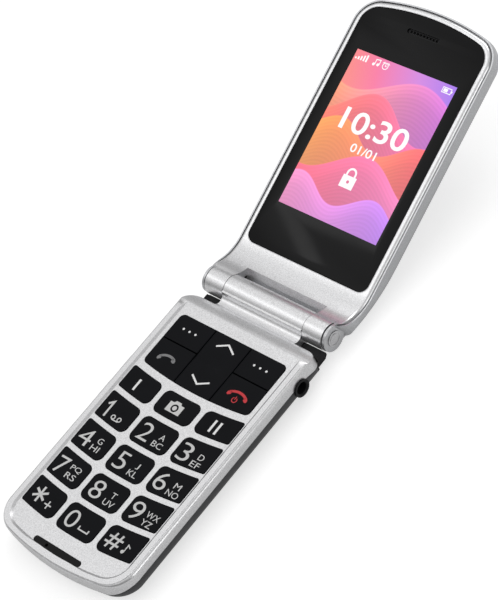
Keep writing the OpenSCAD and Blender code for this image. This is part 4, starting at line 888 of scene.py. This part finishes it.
        mark("key_1", stroke([(-19.35, -48.5), (-17.95, -47.35), (-17.95, -52.4)], 0.68))
        mark("key_1", stroke(arc_path((-14.9, -51.35), 0.62, 0, 337.5, 15), 0.34, closed=True),
             stroke(arc_path((-12.6, -51.35), 0.62, 0, 337.5, 15), 0.34, closed=True),
             stroke([(-14.9, -52.13), (-12.6, -52.13)], 0.34))
        star = (-16.85, -80.4)
        arms = [[(star[0] + r * math.cos(a), star[1] + r * math.sin(a)) for r in (0.35, 2.5)]
                for a in (math.radians(60 * k + 30) for k in range(6))]
        mark("key_star", *[stroke(arm, 0.72) for arm in arms], disc(star, 0.55))
        mark("key_star", stroke([(-13.7, -82.0), (-11.2, -82.0)], 0.42),
             stroke([(-12.45, -80.75), (-12.45, -83.25)], 0.42))
        mark("key_0", stroke([(0.8, -82.2), (0.8, -83.2), (4.2, -83.2), (4.2, -82.2)], 0.42))
        mark("key_hash", stroke([(11.3, -83.5), (12.3, -78.5)], 0.66),
             stroke([(13.4, -83.5), (14.4, -78.5)], 0.66),
             stroke([(10.4, -80.1), (15.5, -80.1)], 0.62),
             stroke([(10.0, -81.9), (15.1, -81.9)], 0.62))
        mark("key_hash", disc((17.0, -82.3), 0.55),
             stroke([(17.42, -82.3), (17.42, -79.9), (18.5, -80.6)], 0.34))
        mark("key_rocker", stroke([(-3.3, -19.1), (0, -17.2), (3.3, -19.1)], 0.55), ink="arrow")
        mark("key_rocker", stroke([(-3.3, -29.6), (0, -31.5), (3.3, -29.6)], 0.55), ink="arrow")
        mark("key_memory_one", stroke([(-15.9, -38.0), (-15.9, -41.8)], 0.75), ink="arrow")
        mark("key_memory_two", stroke([(13.5, -37.9), (13.5, -41.9)], 0.75),
             stroke([(15.5, -37.9), (15.5, -41.9)], 0.75), ink="arrow")
        camera = [(-3.0, -42.3), (2.2, -42.3), (2.2, -39.2), (0.95, -39.2), (0.5, -38.5),
                  (-1.3, -38.5), (-1.75, -39.2), (-3.0, -39.2)]
        eye = (-0.4, -40.7)
        mark("key_camera", pierced(camera, disc(eye, 1.25)[0]), disc(eye, 0.72))
        mark("key_call", *handset((-14.0, -28.5), 3.1, 8), ink="call")
        mark("key_end", *handset((13.5, -28.3), 3.6, 0),
             stroke(arc_path((13.5, -30.5), 0.8, 125, 415, 16), 0.26),
             stroke([(13.5, -29.3), (13.5, -30.4)], 0.26), ink="end")


class PHONE_OT_dots(bpy.types.Operator):
    """Rows of round dots from one node tree: the soft keys' three dots and the dark dots painted as
    the shade in the grille's holes
    """
    bl_idname = "phone.dots"
    bl_label = "Dots and grille"

    def tree(self):
        """Counts, pitch, radius and finish in; a grid of flat discs out, as one mesh."""
        t = bpy.data.node_groups.new("dot_row", "GeometryNodeTree")
        face = t.interface
        face.new_socket("Geometry", in_out="INPUT", socket_type="NodeSocketGeometry")
        for name, kind in (("Count", "Int"), ("Rows", "Int"), ("Pitch", "Float"), ("Radius", "Float"),
                           ("Finish", "Material")):
            face.new_socket(name, in_out="INPUT", socket_type="NodeSocket" + kind)
        face.new_socket("Geometry", in_out="OUTPUT", socket_type="NodeSocketGeometry")

        def node(kind, **inputs):
            n = t.nodes.new(kind)
            for key, value in inputs.items():
                sock = n.inputs[key.replace("_", " ")]
                if isinstance(value, bpy.types.NodeSocket):
                    t.links.new(value, sock)
                else:
                    sock.default_value = value
            return n

        def times(a, b, plus=0.0):
            n = t.nodes.new("ShaderNodeMath")
            n.operation = "MULTIPLY_ADD"
            for i, value in enumerate((a, b, plus)):
                if isinstance(value, bpy.types.NodeSocket):
                    t.links.new(value, n.inputs[i])
                else:
                    n.inputs[i].default_value = value
            return n.outputs[0]

        gin = node("NodeGroupInput").outputs
        across = times(gin["Count"], gin["Pitch"], times(gin["Pitch"], -1.0))
        down = times(gin["Rows"], gin["Pitch"], times(gin["Pitch"], -1.0))
        grid = node("GeometryNodeMeshGrid", Size_X=across, Size_Y=down, Vertices_X=gin["Count"],
                    Vertices_Y=gin["Rows"])
        dot = node("GeometryNodeMeshCircle", Vertices=16, Radius=gin["Radius"])
        dot.fill_type = "NGON"
        put = node("GeometryNodeInstanceOnPoints", Points=grid.outputs["Mesh"],
                   Instance=dot.outputs["Mesh"])
        real = node("GeometryNodeRealizeInstances", Geometry=put.outputs["Instances"])
        paint = node("GeometryNodeSetMaterial", Geometry=real.outputs["Geometry"],
                     Material=gin["Finish"])
        node("NodeGroupOutput", Geometry=paint.outputs["Geometry"])
        return t

    def dots(self, tree, count, rows, pitch, radius, finish):
        """A grid of dots about the origin, as a flat shape in mm."""
        mesh = bpy.data.meshes.new("seed")
        obj = bpy.data.objects.new("seed", mesh)
        bpy.context.scene.collection.objects.link(obj)
        mod = obj.modifiers.new("dots", "NODES")
        mod.node_group = tree
        values = {"Count": count, "Rows": rows, "Pitch": pitch, "Radius": radius,
                  "Finish": material(finish)}
        for item in tree.interface.items_tree:
            if item.in_out == "INPUT" and item.name in values:
                mod[item.identifier] = values[item.name]
        graph = bpy.context.evaluated_depsgraph_get()
        made = bpy.data.meshes.new_from_object(obj.evaluated_get(graph))
        bpy.data.objects.remove(obj)
        shape = [(v.co.x, v.co.y) for v in made.vertices], [tuple(f.vertices) for f in made.polygons]
        if not shape[1]:
            raise RuntimeError("the dot tree gave no faces")
        bpy.data.meshes.remove(made)
        return shape

    def execute(self, context):
        tree = self.tree()
        three = self.dots(tree, 3, 1, 2.3, 0.36, "arrow")
        for key, x, s in (("key_soft_left", -13.75, 19.0), ("key_soft_right", 13.45, 19.0)):
            cap = surface_of(bpy.data.objects["cap_" + key].data)
            printed("dots_" + key, three, lambda px, py: base_mm(x + px, s - py, ABOVE_KEYS), cap, UP,
                    key, "arrow")
        level = LENS["low"] + EAR_SLOT["mesh_up"]
        # dark dots painted as the shade in the grille's holes
        fine = self.dots(tree, 19, 2, 0.55, 0.17, "grille_hole")
        printed("grille_hole_shades", fine, lambda px, py: lid_mm(px, EAR_SLOT["v"] + py, level), None,
                LID_OUT, "lid", "grille_hole", HOLE_SHADE_LIFT * MM)
        return {"FINISHED"}


class PHONE_OT_stage(bpy.types.Operator):
    """Pale floor, soft lamps, even sky and the photograph's camera"""
    bl_idname = "phone.stage"
    bl_label = "Stage"

    def execute(self, context):
        scene = context.scene
        scene.view_settings.view_transform = "Standard"
        self.floor(scene)
        self.sky(scene)
        self.lamp(scene, "key_lamp", (-0.20, 0.75, 0.75), (0.60, 0.40), 2.2)
        self.lamp(scene, "right_lamp", (0.80, 0.10, 0.40), (0.30, 0.50), 1.0)

        cam = bpy.data.cameras.new("camera")
        cam.lens = 144.54
        cam.sensor_width = 36
        cam.clip_end = 20
        obj = bpy.data.objects.new("camera", cam)
        obj.location = Vector((394.80, -154.57, 505.50)) * MM
        obj.rotation_euler = Euler([math.radians(a) for a in (38.28166, 19.11788, 40.51894)], "XYZ")
        scene.collection.objects.link(obj)
        scene.camera = obj
        return {"FINISHED"}

    def floor(self, scene):
        """Pale paper that glows for the camera and only a little in reflections."""
        glow, glow_in_gloss, half = 0.64, 0.35, 4.0
        corners = [(-half, -half, 0), (half, -half, 0), (half, half, 0), (-half, half, 0)]
        mesh = mesh_from("floor", corners, [(0, 1, 2, 3)])
        floor = bpy.data.objects.new("floor", mesh)
        scene.collection.objects.link(floor)
        m = Shader("floor_paper")
        soft = m.noise(m.place(60.0))
        p = m.paint(Roughness=0.9)
        m.put(p, "Base Color", m.ramp(soft, (0.3, (0.54, 0.54, 0.54)), (0.7, (0.56, 0.56, 0.56))))
        path = m.node("ShaderNodeLightPath")
        seen = m.math("MAXIMUM", path.outputs["Is Camera Ray"], path.outputs["Is Transmission Ray"])
        gloss = m.math("MULTIPLY", path.outputs["Is Glossy Ray"], glow_in_gloss)
        p.inputs["Emission Color"].default_value = (1, 1, 1, 1)
        m.put(p, "Emission Strength", m.math("MULTIPLY", m.math("MAXIMUM", seen, gloss), glow))
        mesh.materials.append(m.block)

    def sky(self, scene):
        """Bright overhead and to the left, dark near the horizon, with one soft glint."""
        sky = Shader("sky", "worlds", "ShaderNodeOutputWorld")
        scene.world = sky.block
        tex = sky.node("ShaderNodeTexCoord")
        up = sky.node("ShaderNodeSeparateXYZ", Vector=tex.outputs["Generated"]).outputs[2]
        tone = sky.ramp(up, *[(at, (grey,) * 3) for at, grey in (
            (0.0, 0.45), (0.15, 0.28), (0.35, 0.30), (0.6, 0.55), (0.74, 1.0), (1.0, 0.90))])

        def toward(direction, *steps):
            """The sky's strength as a ray nears the direction; steps as ease takes them."""
            near = sky.node("ShaderNodeVectorMath", operation="DOT_PRODUCT",
                            _0=tex.outputs["Generated"], _1=Vector(direction).normalized())
            return sky.ease(near.outputs["Value"], *steps)

        side = toward((-1, 0, 0), -0.60, 0.35, 0.55, 1.04)
        panel = toward((-0.58, -0.42, 0.70), 0.84, 0.98, 1.0, 1.40)
        glint = toward((-0.578, -0.2326, 0.782), 0.9965, 1.0, 0.0, 1.6)
        strength = sky.math("ADD", sky.math("MULTIPLY", side, panel), glint)
        sky.put(sky.out, "Surface", sky.node("ShaderNodeBackground", Color=tone, Strength=strength))

    def lamp(self, scene, name, at, size, power):
        """A rectangular lamp turned to the phone's middle."""
        data = bpy.data.lights.new(name, "AREA")
        data.shape = "RECTANGLE"
        data.size, data.size_y = size
        data.energy = power
        obj = bpy.data.objects.new(name, data)
        obj.location = at
        aim = Vector((0, 0.03, 0.02))
        obj.rotation_euler = (aim - Vector(at)).to_track_quat("-Z", "Y").to_euler()
        scene.collection.objects.link(obj)


OPERATORS = (PHONE_OT_stage, PHONE_OT_casings, PHONE_OT_lens, PHONE_OT_keys, PHONE_OT_dots)


class PHONE_PT_panel(bpy.types.Panel):
    """Lists the steps that dress the phone"""
    bl_idname = "PHONE_PT_panel"
    bl_label = "Phone"
    bl_space_type = "VIEW_3D"
    bl_region_type = "UI"
    bl_category = "Phone"

    def draw(self, context):
        for group in (context.scene.phone_finish, context.scene.phone_keys):
            for name in group.__annotations__:
                self.layout.prop(group, name)
        for op in OPERATORS:
            self.layout.operator(op.bl_idname)


CLASSES = (PhoneFinish, PhoneKeys, *OPERATORS, PHONE_PT_panel)


def register():
    for c in CLASSES:
        bpy.utils.register_class(c)
    bpy.types.Scene.phone_finish = bpy.props.PointerProperty(type=PhoneFinish)
    bpy.types.Scene.phone_keys = bpy.props.PointerProperty(type=PhoneKeys)


def unregister():
    del bpy.types.Scene.phone_keys
    del bpy.types.Scene.phone_finish
    for c in reversed(CLASSES):
        bpy.utils.unregister_class(c)


def main():
    register()
    for op in OPERATORS:
        group, name = op.bl_idname.split(".")
        getattr(getattr(bpy.ops, group), name)()


if __name__ == "__main__":
    main()
